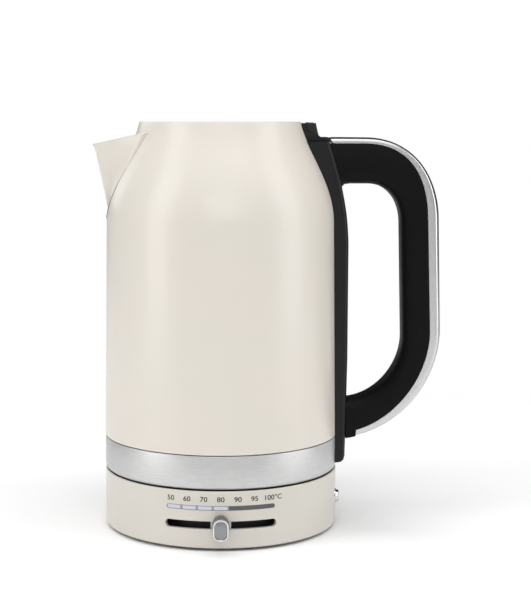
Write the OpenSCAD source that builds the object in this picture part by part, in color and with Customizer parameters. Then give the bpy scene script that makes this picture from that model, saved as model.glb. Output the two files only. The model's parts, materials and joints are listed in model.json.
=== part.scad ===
// Cordless electric kettle: a double-walled jug with a D-shaped handle, on a round power base.
// Origin: centre of the face that the base stands on. +Z up, +X towards the handle, -Y is the front.

/* [Jug] */
// Radius of the jug where the painted body meets the steel ring
body_r = 78; // [65:0.5:94]
// Height of the jug from its underside to its rim
jug_h = 231; // [196:1:277]
// Radius of the painted body at the rim
mouth_r = 54.1; // [45:0.1:58]
// Height over which the shoulder narrows to the rim
shoulder_h = 63.7; // [55:0.1:70]
// Taper of the straight wall, from the ring to the shoulder
wall_taper = 1.9; // [0:0.1:4]
// Thickness of the painted steel body
shell_t = 1.2; // [0.8:0.1:1.6]
// Air gap between the painted body and the inner vessel
air_gap = 5.6; // [4.5:0.1:7]
// Thickness of the inner vessel
vessel_t = 0.9; // [0.7:0.1:1.2]
// Height of the brushed steel ring at the foot of the jug
ring_h = 22; // [20:0.5:27]

/* [Spout] */
// Height of the spout, from its lower point to the spout's mouth
spout_h = 48.6; // [42:0.1:54]
// Reach of the spout's lip beyond the axis of the jug's rim
spout_reach = 31.6; // [26:0.1:36]
// Half of the spout's width where it meets the body at the top
spout_half_w = 29; // [24:0.5:31]
// Radius of the spout's nose, seen from above
nose_r = 6; // [4:0.5:8]
// Depth of the spout's mouth below the rim
spout_drop = 15.1; // [13:0.1:18]
// Width of the pouring passage through the two walls
pour_w = 30; // [24:0.5:34]
// Height of the pouring passage
pour_h = 18; // [15:0.5:21]

/* [Handle] */
// Reach of the handle beyond the body
handle_reach = 69.3; // [58:0.1:83]
// Width of the handle
handle_w = 27; // [22:0.5:30]
// Thickness of the grip, front to back
grip_t = 17.6; // [16:0.1:22]
// Thickness of the aluminium strip on the back of the handle
strip_t = 8.2; // [5:0.1:8.6]
// Width of the black bracket that joins the handle to the body
spine_w = 32; // [30:0.5:38]
// Depth of the bracket outside the body
spine_d = 7.2; // [6:0.1:8.6]
// Width of the water window
window_w = 11; // [9:0.5:13]
// Height of the water window
window_h = 109; // [90:1:130]

/* [Lid] */
// Gap between the lid and the collar it drops into
lid_gap = 0.7; // [0.6:0.1:1]
// Radius of the lid's hinge barrel
hinge_r = 3.2; // [3:0.1:3.6]
// Radius of the hinge pin
pin_r = 1.5; // [1.2:0.1:1.7]

/* [Base] */
// Height of the power base
base_h = 39; // [34:0.5:47]
// Thickness of the base's moulded wall
base_t = 2.4; // [2:0.1:3]
// Width of the pale lip around the black top plate
lip_w = 1.3; // [1:0.1:2]
// Radius of the connector's top flange
plug_r = 21; // [17.5:0.5:22]
// Height of the connector above the top plate
plug_h = 21.4; // [19:0.1:22]
// Radius of the raised platform around the connector
platform_r = 44; // [38:0.5:52]
// Radius of the rubber foot ring
foot_r = 65; // [55:0.5:66]

/* [Controls] */
// Angle from the middle of the temperature scale to either end of the knob's travel
knob_swing = 24; // [20:0.1:28]
// Width of the knob
knob_w = 11.1; // [9:0.1:13]
// Height of the knob
knob_h = 14.4; // [12:0.1:16]
// How far the knob stands out of the base
knob_d = 13; // [10:0.5:16]
// Height of the slot that the knob runs in
slot_h = 5.2; // [4.4:0.1:6]
// Height of the light bar
bar_h = 3; // [2.4:0.1:4]
// Radius of the power button
button_r = 4.2; // [3.5:0.1:5]
// Travel of the power button
button_travel = 1.5; // [1:0.1:2]
// Radius of the bore for the mains lead
lead_r = 3.5; // [3:0.1:4]

/* [Hidden] */
$fn = 96;
e = 0.01;

// Clearances
fit = 0.1;          // between pieces that are fixed together
run = 0.3;          // between pieces that move past each other
guide = 0.15;       // between a push button and its guide
pin_gap = 0.05;     // radial, between a pin and what turns on it

// Jug: heights are measured from the jug's underside, which sits at jug_z
jug_z = base_h + 0.5;
ring_r = body_r;
seam = 0.6;
shoulder_r = body_r - wall_taper;
shoulder_z = jug_h - shoulder_h;
shoulder_curve = bez([shoulder_r, shoulder_z], [shoulder_r - 1.1, shoulder_z + 0.39 * shoulder_h],
    [mouth_r + 3.9, shoulder_z + 0.71 * shoulder_h], [mouth_r, jug_h], 14);
body_line = concat([[ring_h + seam, body_r], [shoulder_z, shoulder_r]],
    [for (p = shoulder_curve) if (p[1] > shoulder_z + e) [p[1], p[0]]]);
cover_z = 5.4;               // underside of the jug's cover plate
cover_t = 2;
floor_z = ring_h + 5;        // underside of the vessel's floor
neck_z = jug_h - 21;         // joint between the vessel and the neck collar
seat_z = jug_h - 14;         // ledge that the lid's seal rests on
wall_gap = shell_t + air_gap;
element_r = body_r - 38;      // centre line of the heating element's ring
element_wire = 3.2;
switch_y = -(element_r - element_wire - 0.8);

// Spout
mouth_z = jug_h - spout_drop;
spout_z = mouth_z - spout_h;
lip_x = mouth_r + spout_reach;
pour_z = mouth_z - 30.6;
duct_t = 1.2;
filter_t = 2;
filter_gap = 0.25;

// Handle and its bracket
spine_x = body_r + spine_d - 0.6;
spine_z1 = 4;
handle_x = body_r + handle_reach;
grip_x = handle_x - strip_t;
loop_x = grip_x - grip_t;
arm_top = jug_h - 10;
arm_root = 30.6;
foot_arm_z = 20.7;
strip_top_t = 4.2;
core_w = 13;
window_z = (jug_h - window_h) / 2 + 3;
screw_r = 1.6;
head_r = 3;
handle_screw_z = [foot_arm_z + 14.5, arm_top - 12.5];

// Lid and hinge
collar_r = mouth_r - 6.7;
lid_r = collar_r - lid_gap;
ledge_r = collar_r - 4;
hinge_x = mouth_r - 3.1;
hinge_z = jug_h - 0.9 - hinge_r;
block_w = 28;
block_z = jug_h - 12.8;
pocket_w = 19;
barrel_w = 18;
button_x = mouth_r + 4.8;
button_w = 12;
button_d = 4.8;
latch_travel = 2;
spring_w = 6;
lid_back = hinge_x - 8.5;

// Base
base_r = body_r;
foot_z = 1.8;
cover_r = base_r - base_t - fit;
plate_r = base_r - lip_w;
plate_z = base_h - 0.4;
plate_t = 2;
platform_h = 2.4;
neck_r = plug_r - 3.6;
collar_h = 4.6;
plug_z = plate_z + plug_h;
flange_h = 4;
groove_z = plug_z - 9;
contact_radii = [(neck_r - 5.4) / 2, neck_r - 5.4];
contact_t = 0.9;
groove_w = 2.4;
boss_r = 4;
foot_w = 8;
boss_ring = foot_r - foot_w / 2 - head_r - 6;
boss_angles = [30, 150, 270];

// Controls: heights from the face that the base stands on
knob_z = 0.44 * base_h;
bar_z = 0.725 * base_h;
slot_swing = knob_swing + 2.3;
bar_swing = knob_swing + 2.2;
track_r = base_r - 12;
carriage_r = track_r + 2 + run;
stem_w = 4.8;
button_z = 0.5 * base_h;
button_az = -8;
button_out = button_travel + 0.9;
plunger_r = 1.3;
plunger_x = base_r - 12;
gland_z = 11;
gland_l = 16;

function bez(a, b, c, d, n) = [for (i = [0 : n]) let (t = i / n, s = 1 - t)
    s * s * s * a + 3 * s * s * t * b + 3 * s * t * t * c + t * t * t * d];
function skin_r(z) = lookup(z, body_line);
// Outline points of the body's skin, moved in by t, from height z1 to height z2
function skin(z1, z2, t) = concat([[skin_r(z1) - t, z1]],
    [for (p = body_line) if (p[0] > z1 + e && p[0] < z2 - e) [p[1] - t, p[0]]],
    [[skin_r(z2) - t, z2]]);
function back(list) = [for (i = [len(list) - 1 : -1 : 0]) list[i]];

module tube(r_in, r_out, z1, z2) {
    translate([0, 0, z1])
        difference() {
            cylinder(h = z2 - z1, r = r_out);
            translate([0, 0, -1]) cylinder(h = z2 - z1 + 2, r = r_in);
        }
}
module disc(r, z1, z2) {
    translate([0, 0, z1]) cylinder(h = z2 - z1, r = r);
}
// A band of the ring between two radii, about the front of the base
module front_band(r_in, r_out, z1, z2, swing) {
    rotate([0, 0, -90 - swing])
        rotate_extrude(angle = 2 * swing)
            polygon([[r_in, z1], [r_out, z1], [r_out, z2], [r_in, z2]]);
}
// A box given by its two corners
module box(a, b) {
    translate(a) cube(b - a);
}
module rod_x(r, x1, x2, z = 0) {
    translate([x1, 0, z]) rotate([0, 90, 0]) cylinder(h = x2 - x1, r = r);
}
module rod_y(r, y1, y2, x = 0, z = 0) {
    translate([x, y1, z]) rotate([-90, 0, 0]) cylinder(h = y2 - y1, r = r);
}
// A side outline in the plane of the handle, given a width across
module side(points, w) {
    rotate([90, 0, 0]) linear_extrude(height = w, center = true) polygon(points);
}
module on_jug() {
    translate([0, 0, jug_z]) children();
}
module at_button() {
    rotate([0, 0, button_az]) translate([0, 0, button_z]) children();
}
// The jug's outside as one solid, grown by g
module jug_solid(g) {
    rotate_extrude()
        polygon(concat([[0, -1], [ring_r + g, -1], [ring_r + g, ring_h + seam]],
            [for (p = skin(ring_h + seam, jug_h, -g)) p], [[mouth_r + g, jug_h + 30], [0, jug_h + 30]]));
}
// A coil spring: turns of wire between two heights
module coil(r, wire, z1, z2, turns) {
    sides = 6;
    steps = turns * 12;
    points = [for (i = [0 : steps], k = [0 : sides - 1]) let (
        a = 360 * turns * i / steps,
        q = r + wire * cos(360 * k / sides),
        z = z1 + wire + (z2 - z1 - 2 * wire) * i / steps + wire * sin(360 * k / sides))
        [q * cos(a), q * sin(a), z]];
    ends = [[for (k = [0 : sides - 1]) k], [for (k = [sides - 1 : -1 : 0]) steps * sides + k]];
    walls = [for (i = [0 : steps - 1], k = [0 : sides - 1]) let (n = (k + 1) % sides)
        [i * sides + k, (i + 1) * sides + k, (i + 1) * sides + n, i * sides + n]];
    polyhedron(points, concat(ends, walls), 4);
}

// ---- Power base ----

module base_housing() {
    color([0.82, 0.81, 0.78])
        difference() {
            rotate_extrude()
                polygon(concat([[cover_r + fit, foot_z]],
                    bez([base_r - base_t + 0.3, foot_z], [base_r - 0.6, foot_z], [base_r, foot_z + 0.8],
                        [base_r, foot_z + 2.6], 6),
                    bez([base_r, base_h - 1], [base_r, base_h - 0.4], [base_r - 0.3, base_h],
                        [base_r - 0.7, base_h], 4),
                    [[plate_r, base_h], [plate_r, plate_z - plate_t],
                    [base_r - base_t - 2, plate_z - plate_t],
                     [base_r - base_t - 2, plate_z - plate_t - 1.6],
                     [cover_r + fit, plate_z - plate_t - 3.6]]));
            front_band(base_r - 5, base_r + 2, knob_z - slot_h / 2, knob_z + slot_h / 2, slot_swing);
            front_band(base_r - 5, base_r + 2, bar_z - bar_h / 2, bar_z + bar_h / 2, bar_swing);
            at_button() rod_x(button_r + 0.9 + fit, base_r - 8, base_r + 8);
            rod_y(lead_r + 2 + fit, base_r - 10, base_r + 5, 0, gland_z);
        }
}
module base_top_plate() {
    color([0.2, 0.2, 0.2])
        difference() {
            union() {
                disc(plate_r - fit, plate_z - plate_t, plate_z);
                translate([0, 0, plate_z - e])
                    cylinder(h = platform_h + e, r1 = platform_r, r2 = platform_r - 14);
                for (a = boss_angles)
                    rotate([0, 0, a]) translate([boss_ring, 0, foot_z + 2.2])
                        cylinder(h = plate_z - plate_t - foot_z - 2.2 + e, r = boss_r);
            }
            disc(neck_r + fit, plate_z - 10, plate_z + 10);
            for (i = [0 : 5])
                rotate([0, 0, 60 * i]) translate([base_r - 7.5, 0, 0])
                    disc(1.1 + fit, plate_z - 5, plate_z + 5);
            for (a = boss_angles)
                rotate([0, 0, a]) translate([boss_ring, 0, 0]) disc(screw_r, 0, plate_z - 8);
        }
}
module connector_plug() {
    color([0.13, 0.13, 0.13])
        difference() {
            union() {
                disc(neck_r, plate_z - 12, plug_z - flange_h + e);
                disc(neck_r + 3.1, plate_z + platform_h, plate_z + platform_h + collar_h);
                rotate_extrude()
                    polygon([[0, plug_z - flange_h], [plug_r - 1.5, plug_z - flange_h],
                        [plug_r, plug_z - flange_h + 1.2],
                        [plug_r, plug_z - 1.2], [plug_r - 1.2, plug_z], [0, plug_z]]);
            }
            for (r = contact_radii)
                tube(r - groove_w / 2, r + groove_w / 2, groove_z, plug_z + 1);
            disc(2.2, groove_z, plug_z + 1);
            rotate([0, 0, -125]) box([neck_r - 2, -3.4, plate_z + 5],
                [neck_r + 6, 3.4, plug_z - flange_h - 1]);
        }
}
module plug_contacts() {
    color([0.8, 0.65, 0.3]) {
        disc(2.1, groove_z, groove_z + 1);
        for (r = contact_radii)
            tube(r - groove_w / 2 + fit, r + groove_w / 2 - fit, groove_z, groove_z + 1);
    }
}
module earth_contact() {
    color([0.8, 0.45, 0.25])
        rotate([0, 0, -125])
            rotate([90, 0, 0])
                linear_extrude(height = 4.4, center = true)
                    polygon([[neck_r - 1.9, plate_z + 10], [neck_r + 0.4, plate_z + 12],
                        [neck_r + 0.4, plug_z - 6.4],
                        [neck_r - 1.9, plug_z - 5.4], [neck_r - 1.9, plug_z - 6.4],
                        [neck_r - 0.4, plug_z - 7.2],
                        [neck_r - 0.4, plate_z + 12.4], [neck_r - 1.9, plate_z + 11]]);
}
module contact_block() {
    color([0.5, 0.5, 0.5])
        rotate([0, 0, -125])
            box([neck_r - 1.9, -3.2, plate_z + platform_h + collar_h + e],
                [neck_r + 0.9, 3.2, plate_z + 9.9]);
}
module rest_pins() {
    color([0.85, 0.85, 0.85])
        for (i = [0 : 5])
            rotate([0, 0, 60 * i]) translate([base_r - 7.5, 0, 0]) {
                disc(1.1, plate_z - plate_t, plate_z - 0.3);
                intersection() {
                    translate([0, 0, plate_z - 0.8]) sphere(r = 1.4);
                    disc(1.1, plate_z - 0.3 - e, plate_z + 3);
                }
            }
}
module base_cover() {
    color([0.16, 0.16, 0.16])
        difference() {
            union() {
                disc(cover_r, foot_z, foot_z + 2.2);
                for (x = [-30, 30], y = [-38, -14])
                    translate([x, y, foot_z + 2]) cylinder(h = 4.2, r = 2.6);
            }
            tube(foot_r - foot_w / 2 - fit, foot_r + foot_w / 2 + fit, 0, foot_z + 1.2);
            for (a = boss_angles)
                rotate([0, 0, a]) translate([boss_ring, 0, 0]) {
                    disc(screw_r, 0, foot_z + 5);
                    disc(head_r + fit, 0, foot_z + 1.1);
                }
        }
}
module foot_ring() {
    color([0.1, 0.1, 0.1])
        tube(foot_r - foot_w / 2, foot_r + foot_w / 2, 0, foot_z + 1.2);
}
module cover_screws() {
    color([0.6, 0.6, 0.6])
        for (a = boss_angles)
            rotate([0, 0, a]) translate([boss_ring, 0, 0])
                difference() {
                    union() {
                        disc(head_r, foot_z, foot_z + 1.1);
                        disc(screw_r - fit, foot_z + 1, foot_z + 14);
                    }
                    for (t = [0, 90])
                        rotate([0, 0, t]) translate([0, 0, foot_z]) cube([3.4, 0.6, 1.2], center = true);
                }
}
module control_board() {
    color([0.1, 0.4, 0.2])
        difference() {
            box([-36, -44, foot_z + 6.2], [36, -8, foot_z + 7.8]);
            for (x = [-30, 30], y = [-38, -14])
                translate([x, y, 0]) disc(1.2, foot_z, foot_z + 12);
        }
}
module relay() {
    color([0.15, 0.25, 0.5]) box([4, -40, foot_z + 7.8], [24, -24, foot_z + 21]);
}
module capacitor() {
    color([0.25, 0.2, 0.2])
        for (x = [-22, -8]) translate([x, -28, 0]) disc(5, foot_z + 7.8, foot_z + 19);
}
module led_board() {
    color([0.1, 0.4, 0.2]) front_band(base_r - 9.4, base_r - 8, bar_z - 4.4, bar_z + 3.6, bar_swing - 1);
    color([0.9, 0.9, 0.95])
        for (i = [-3 : 3])
            rotate([0, 0, i * 2 * bar_swing / 8]) box([-1.5, -(base_r - 6.8), bar_z - 1.2],
                [1.5, -(base_r - 8.1), bar_z + 1.2]);
}
module light_bar() {
    color([0.35, 0.37, 0.4])
        front_band(base_r - base_t - 1, base_r + 0.15, bar_z - bar_h / 2 + 0.06,
            bar_z + bar_h / 2 - 0.06, bar_swing - 0.06);
}
module slide_track() {
    color([0.2, 0.2, 0.22]) front_band(track_r, track_r + 2, foot_z + 2.2, knob_z + 4, slot_swing + 3);
}
module power_bezel() {
    color([0.75, 0.75, 0.77])
        at_button()
            difference() {
                union() {
                    rod_x(button_r + 0.9, base_r - 6, base_r + 0.5);
                    rod_x(button_r + 2.4, base_r - 6, base_r - base_t - 1);
                }
                rod_x(button_r + guide, base_r - 10, base_r + 5);
            }
}
module power_switch() {
    color([0.12, 0.12, 0.14])
        at_button()
            difference() {
                box([plunger_x - 9, -5, -5], [plunger_x - 1, 5, 5]);
                rod_x(plunger_r + run, plunger_x - 3.5 - button_travel, plunger_x + 2);
            }
    color([0.12, 0.12, 0.14])
        at_button() box([plunger_x - 9, -5, foot_z + 2.2 - button_z], [plunger_x - 6, 5, -5 + e]);
}
module lead_gland() {
    color([0.15, 0.15, 0.15])
        difference() {
            union() {
                rod_y(lead_r + 2, base_r - gland_l + 0.6, base_r + 0.6, 0, gland_z);
                rod_y(lead_r + 3.2, base_r - 7.4, base_r - base_t - 1.4, 0, gland_z);
            }
            rod_y(lead_r, base_r - gland_l - 3, base_r + 3, 0, gland_z);
        }
}
module terminal_block() {
    color([0.85, 0.85, 0.82])
        difference() {
            box([-14, 18, foot_z + 2.2], [14, 30, foot_z + 13]);
            for (x = [-8.5, 0, 8.5]) rod_y(1.9, 15, 35, x, foot_z + 7);
        }
}
module plug_leads() {
    for (i = [-1 : 1])
        color([[0.5, 0.3, 0.15], [0.35, 0.6, 0.25], [0.15, 0.3, 0.6]][i + 1])
            translate([8.5 * i, 2, 0]) {
                disc(1.4, foot_z + 7, plate_z - 12);
                rod_y(1.4, 0, 27, 0, foot_z + 7);
                translate([0, 0, foot_z + 7]) sphere(r = 1.4);
            }
}

// ---- Controls on the base ----

module stadium(w, h) {
    union() {
        square([w, h - w], center = true);
        for (s = [-1, 1]) translate([0, s * (h - w) / 2]) circle(r = w / 2);
    }
}
module temperature_knob() {
    color([0.5, 0.5, 0.5])
        translate([0, -(base_r + 0.6), knob_z])
            rotate([90, 0, 0])
                difference() {
                    union() {
                        linear_extrude(height = knob_d - 1.4) stadium(knob_w, knob_h);
                        translate([0, 0, knob_d - 1.4 - e]) linear_extrude(height = 0.8 + e)
                            stadium(knob_w - 0.8, knob_h - 0.8);
                    }
                    translate([0, 0, knob_d - 1.4]) linear_extrude(height = 3) stadium(knob_w - 2.4,
                        knob_h - 2.4);
                    translate([-stem_w / 2 - fit, -slot_h / 2 + 0.4 - fit, -1])
                        cube([stem_w + 2 * fit, slot_h - 0.8 + 2 * fit, 7.5]);
                }
}
module knob_face() {
    color([0.62, 0.62, 0.62])
        translate([0, -(base_r + 0.6 + knob_d - 1.4), knob_z])
            rotate([90, 0, 0]) linear_extrude(height = 0.5) stadium(knob_w - 2.6, knob_h - 2.6);
}
module knob_carriage() {
    color([0.8, 0.8, 0.8]) {
        front_band(carriage_r, base_r - base_t - 0.7, knob_z - 4.6, knob_z + 4.6, 5);
        box([-stem_w / 2, -(base_r + 7), knob_z - slot_h / 2 + 0.4],
            [stem_w / 2, -(base_r - base_t - 1.2), knob_z + slot_h / 2 - 0.4]);
    }
}
module power_button() {
    color([0.72, 0.72, 0.74])
        at_button()
            rotate([0, 90, 0])
                rotate_extrude()
                    polygon(concat([[0, base_r - 5.8], [button_r, base_r - 5.8]],
                        bez([button_r, base_r + button_out - 1], [button_r, base_r + button_out - 0.3],
                            [button_r - 0.4, base_r + button_out], [button_r - 1, base_r + button_out],
                            4),
                        [[button_r - 1.3, base_r + button_out - 0.3], [0, base_r + button_out - 0.3]]));
}
module button_plunger() {
    color([0.85, 0.85, 0.85]) at_button() rod_x(plunger_r, plunger_x - 2.5, base_r - 5.8);
}

// ---- Socket under the jug ----

module jug_socket() {
    color([0.14, 0.14, 0.14])
        on_jug()
            difference() {
                disc(plug_r + 2.2, 3.4, ring_h + 1);
                disc(plug_r + 0.7, 0, plug_z - jug_z + 0.6);
            }
}
module socket_contacts() {
    color([0.8, 0.65, 0.3])
        on_jug() {
            disc(1.5, plug_z - jug_z - 6, plug_z - jug_z + 0.6);
            for (r = contact_radii)
                tube(r - contact_t / 2, r + contact_t / 2, plug_z - jug_z - 6, plug_z - jug_z + 0.6);
        }
}

// ---- Jug ----

module outer_shell() {
    color([0.86, 0.85, 0.82])
        on_jug()
            difference() {
                rotate_extrude()
                    polygon(concat(skin(ring_h + seam, jug_h, 0),
                        back(skin(ring_h + seam, jug_h, shell_t))));
                box([-body_r - 5, -pour_w / 2, pour_z], [-20, pour_w / 2, pour_z + pour_h]);
                box([30, -block_w / 2 - fit, block_z - fit], [body_r + 5, block_w / 2 + fit, jug_h + 5]);
                box([30, -window_w / 2, window_z], [body_r + 5, window_w / 2, window_z + window_h]);
            }
}
module steel_ring() {
    color([0.78, 0.78, 0.78])
        on_jug()
            rotate_extrude()
                polygon(concat([[ring_r - 4.2, 0.4], [ring_r - 3.4, 0.1]],
                    bez([ring_r - 3, 0], [ring_r - 1.2, 0], [ring_r, 1.2], [ring_r, 3], 6),
                    [[ring_r, ring_h], [ring_r - 1.4, ring_h], [ring_r - 1.4, 3.4], [ring_r - 2.6, 1.6],
                    [ring_r - 4.2, 1.6]]));
}
module jug_cover() {
    color([0.15, 0.15, 0.15])
        on_jug()
            difference() {
                rotate_extrude()
                    polygon([[plug_r + 2.2 + run, cover_z], [ring_r - 13, cover_z], [ring_r - 11, 0.2],
                        [ring_r - 4.4, 0.2],
                        [ring_r - 4.4, 2.4], [ring_r - 1.5, 4.4], [ring_r - 1.5, 6.6],
                        [ring_r - 8, cover_z + cover_t],
                        [plug_r + 2.2 + run, cover_z + cover_t]]);
                for (a = [60, 180, 300])
                    rotate([0, 0, a]) translate([body_r - 26, 0, 0]) disc(screw_r, 0, cover_z + 6);
            }
}
module jug_screws() {
    color([0.6, 0.6, 0.6])
        on_jug()
            for (a = [60, 180, 300])
                rotate([0, 0, a]) translate([body_r - 26, 0, 0]) {
                    disc(head_r, cover_z - 1.4, cover_z);
                    disc(screw_r - fit, cover_z - e, floor_z - 3);
                }
}
module inner_vessel() {
    color([0.75, 0.76, 0.77])
        on_jug()
            difference() {
                rotate_extrude()
                    polygon(concat([[0, floor_z], [body_r - wall_gap - 6, floor_z]],
                        bez([body_r - wall_gap - 6, floor_z], [body_r - wall_gap - 2, floor_z],
                            [skin_r(floor_z + 6) - wall_gap, floor_z + 2],
                            [skin_r(floor_z + 6) - wall_gap, floor_z + 6], 5),
                        skin(floor_z + 6.2, neck_z, wall_gap),
                        back(skin(floor_z + 6.2, neck_z, wall_gap + vessel_t)),
                        bez([skin_r(floor_z + 6) - wall_gap - vessel_t, floor_z + 6],
                            [skin_r(floor_z + 6) - wall_gap - vessel_t, floor_z + 2.6],
                            [body_r - wall_gap - 3, floor_z + vessel_t],
                            [body_r - wall_gap - 6.6, floor_z + vessel_t], 5),
                        [[0, floor_z + vessel_t]]));
                box([-body_r, -pour_w / 2, pour_z], [-20, pour_w / 2, pour_z + pour_h]);
                box([30, -window_w / 2, window_z], [body_r, window_w / 2, window_z + window_h]);
            }
}
module heater_plate() {
    color([0.65, 0.65, 0.66]) on_jug() disc(body_r - wall_gap - 8, floor_z - 2.4, floor_z);
}
module heating_element() {
    color([0.45, 0.45, 0.44])
        on_jug() {
            rotate([0, 0, 25])
                rotate_extrude(angle = 310)
                    translate([element_r, floor_z - 2.4 - element_wire]) circle(r = element_wire);
            for (a = [25, 335])
                rotate([0, 0, a]) translate([element_r, 0, 0]) disc(2.2, floor_z - 15,
                    floor_z - 2.4 - element_wire);
        }
}
module temperature_sensor() {
    color([0.8, 0.8, 0.78])
        on_jug() translate([0, 30, 0]) {
            disc(5, floor_z - 4.4, floor_z - 2.4);
            disc(3, floor_z - 13, floor_z - 4.3);
        }
}
module dry_boil_switch() {
    color([0.3, 0.2, 0.15])
        on_jug() box([-6, switch_y, floor_z - 11], [6, switch_y + 11, floor_z - 2.4]);
}
// One level slice of the spout: a rounded V from its seam with the body out to the nose
module spout_slice(z, half_w, nose_x, r, inset) {
    seam_x = sqrt(pow(skin_r(z), 2) - half_w * half_w);
    translate([0, 0, z])
        linear_extrude(height = 0.2)
            hull() {
                translate([r - nose_x, 0]) circle(r = r - inset, $fn = 32);
                translate([2 - seam_x, 0]) square([4, 2 * (half_w - inset)], center = true);
            }
}
// The spout's outside, or with an inset its inside, as a stack of slices
module spout_body(inset) {
    // Each slice: its share of the height, half its width at the seam, and its nose beyond the skin
    slices = [[0, 1.6, 0.4], [0.24, 17, 1.6], [0.4, 22.5, 5.4], [0.62, 0.84 * spout_half_w, 11.6],
        [1.17, spout_half_w + 0.6, lip_x + 2 - skin_r(spout_z + 1.17 * spout_h)]];
    for (i = [0 : len(slices) - 2])
        hull()
            for (s = [slices[i], slices[i + 1]])
                spout_slice(spout_z + s[0] * spout_h, s[1], skin_r(spout_z + s[0] * spout_h) + s[2],
                    min(nose_r, 1.5 + nose_r * s[0]), inset);
}
module spout() {
    color([0.86, 0.85, 0.82])
        on_jug()
            difference() {
                spout_body(0);
                spout_body(shell_t);
                jug_solid(fit);
                side([[-mouth_r - 1.9, jug_h - 8.3], [-mouth_r - 1.9, jug_h], [-lip_x - 20, jug_h],
                    [-lip_x - 20, mouth_z - 5], [-lip_x, mouth_z]], 2 * body_r);
            }
}
module pour_duct() {
    w = pour_w / 2 - fit;
    color([0.2, 0.2, 0.2])
        on_jug()
            difference() {
                intersection() {
                    box([-body_r - 2, -w, pour_z + fit], [-40, w, pour_z + pour_h - fit]);
                    rotate_extrude()
                        polygon(concat(skin(pour_z - 5, pour_z + pour_h + 3, 0.2),
                            back(skin(pour_z - 5, pour_z + pour_h + 3, wall_gap + vessel_t + 3))));
                }
                box([-body_r - 3, -w + duct_t, pour_z + fit + duct_t],
                    [-30, w - duct_t, pour_z + pour_h - fit - duct_t]);
            }
}
module filter_frame() {
    w = pour_w / 2 - fit - duct_t - filter_gap;
    z1 = pour_z + fit + duct_t + filter_gap;
    z2 = pour_z + pour_h - fit - duct_t - filter_gap;
    x = skin_r(pour_z + pour_h) - wall_gap - 1;
    color([0.85, 0.85, 0.83])
        on_jug()
            difference() {
                box([-x, -w, z1], [-x + filter_t + 4, w, z2]);
                box([-x - 1, -w + 1.4, z1 + 1.4], [-x + filter_t + 6, w - 1.4, z2 - 1.4]);
            }
}
module filter_mesh() {
    w = pour_w / 2 - fit - duct_t - filter_gap - 1.4;
    z1 = pour_z + fit + duct_t + filter_gap + 1.4;
    z2 = pour_z + pour_h - fit - duct_t - filter_gap - 1.4;
    x = skin_r(pour_z + pour_h) - wall_gap - 2;
    bars = 9;
    color([0.7, 0.7, 0.7])
        on_jug() {
            for (i = [0 : bars - 1])
                box([-x, -w + (2 * w - 0.5) * i / (bars - 1), z1],
                    [-x + 0.5, -w + (2 * w - 0.5) * i / (bars - 1) + 0.5, z2]);
            for (i = [0 : 4])
                box([-x + 0.5, -w, z1 + (z2 - z1 - 0.5) * i / 4],
                    [-x + 1, w, z1 + (z2 - z1 - 0.5) * i / 4 + 0.5]);
        }
}
module neck_collar() {
    color([0.15, 0.15, 0.15])
        on_jug()
            difference() {
                rotate_extrude()
                    polygon(concat(skin(neck_z, jug_h - 0.8, shell_t + fit),
                        [[collar_r, jug_h - 0.8], [collar_r, seat_z], [ledge_r, seat_z],
                        [ledge_r, seat_z - 2],
                         [skin_r(neck_z) - wall_gap - vessel_t, neck_z]]));
                box([30, -block_w / 2 - fit, block_z - fit], [body_r, block_w / 2 + fit, jug_h + 5]);
            }
}
// Side outline of the bracket's outer edge, moved out by g
function spine_edge(g) = concat([[mouth_r + 17.3 + g, block_z]],
    bez([spine_x - 4.6 + g, jug_h - 43.3], [spine_x - 2.6 + g, jug_h - 53],
    [spine_x - 0.6 + g, jug_h - 62], [spine_x + g, jug_h - 80], 6),
    [[spine_x + g, window_z + 10], [spine_x - 0.6 + g, window_z - 21],
    [spine_x - 1.2 + g, spine_z1 + 4]]);
// The bracket follows the body's outside and ends under the hinge block
module spine() {
    color([0.17, 0.17, 0.17])
        on_jug()
            difference() {
                side(concat(spine_edge(0), [[spine_x - 2.8, spine_z1], [body_r - 14, spine_z1],
                    [mouth_r - 14, block_z]]), spine_w);
                jug_solid(fit);
                box([body_r - 15, -window_w / 2, window_z],
                    [spine_x + 5, window_w / 2, window_z + window_h]);
                side(core_line(fit), core_w + 2 * fit);
                for (z = handle_screw_z) rod_x(screw_r, 40, spine_x + 4, z);
            }
}
module hinge_block() {
    well_w = button_w / 2 + guide;
    color([0.16, 0.16, 0.16])
        on_jug()
            difference() {
                side([[collar_r + fit, block_z], [collar_r + fit, jug_h - 0.8],
                    [mouth_r + 8.1, jug_h - 0.8],
                    [mouth_r + 9.9, jug_h - 8.6], [mouth_r + 11.5, arm_top], [mouth_r + 16.4, arm_top],
                    [mouth_r + 18.4, block_z + 0.1], [mouth_r + 18.4, block_z]], block_w);
                // Pocket for the lid's hinge barrel
                box([collar_r - 5, -pocket_w / 2, block_z + 1.6],
                    [hinge_x + 5.2, pocket_w / 2, jug_h + 5]);
                // Well for the latch, and the button's guide above it
                box([hinge_x + 4.5, -well_w, block_z + 1.6],
                    [button_x + 2.1 + latch_travel, well_w, jug_h - 4.9]);
                box([button_x - button_d / 2 - guide, -well_w, jug_h - 6],
                    [button_x + button_d / 2 + guide, well_w, jug_h + 5]);
                rod_y(pin_r + pin_gap, -block_w, block_w, hinge_x, hinge_z);
            }
}
module water_window() {
    color([0.75, 0.8, 0.85, 0.5])
        on_jug()
            intersection() {
                side(concat(spine_edge(0.5), [[body_r - 14, spine_z1], [mouth_r - 14, block_z]]),
                    window_w - 2 * fit);
                disc(body_r + 30, window_z + fit, window_z + window_h - fit);
                difference() {
                    disc(body_r + 30, 0, jug_h);
                    translate([0, 0, -1]) cylinder(h = jug_h + 2, r = body_r - wall_gap - 1.9);
                }
            }
}
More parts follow.
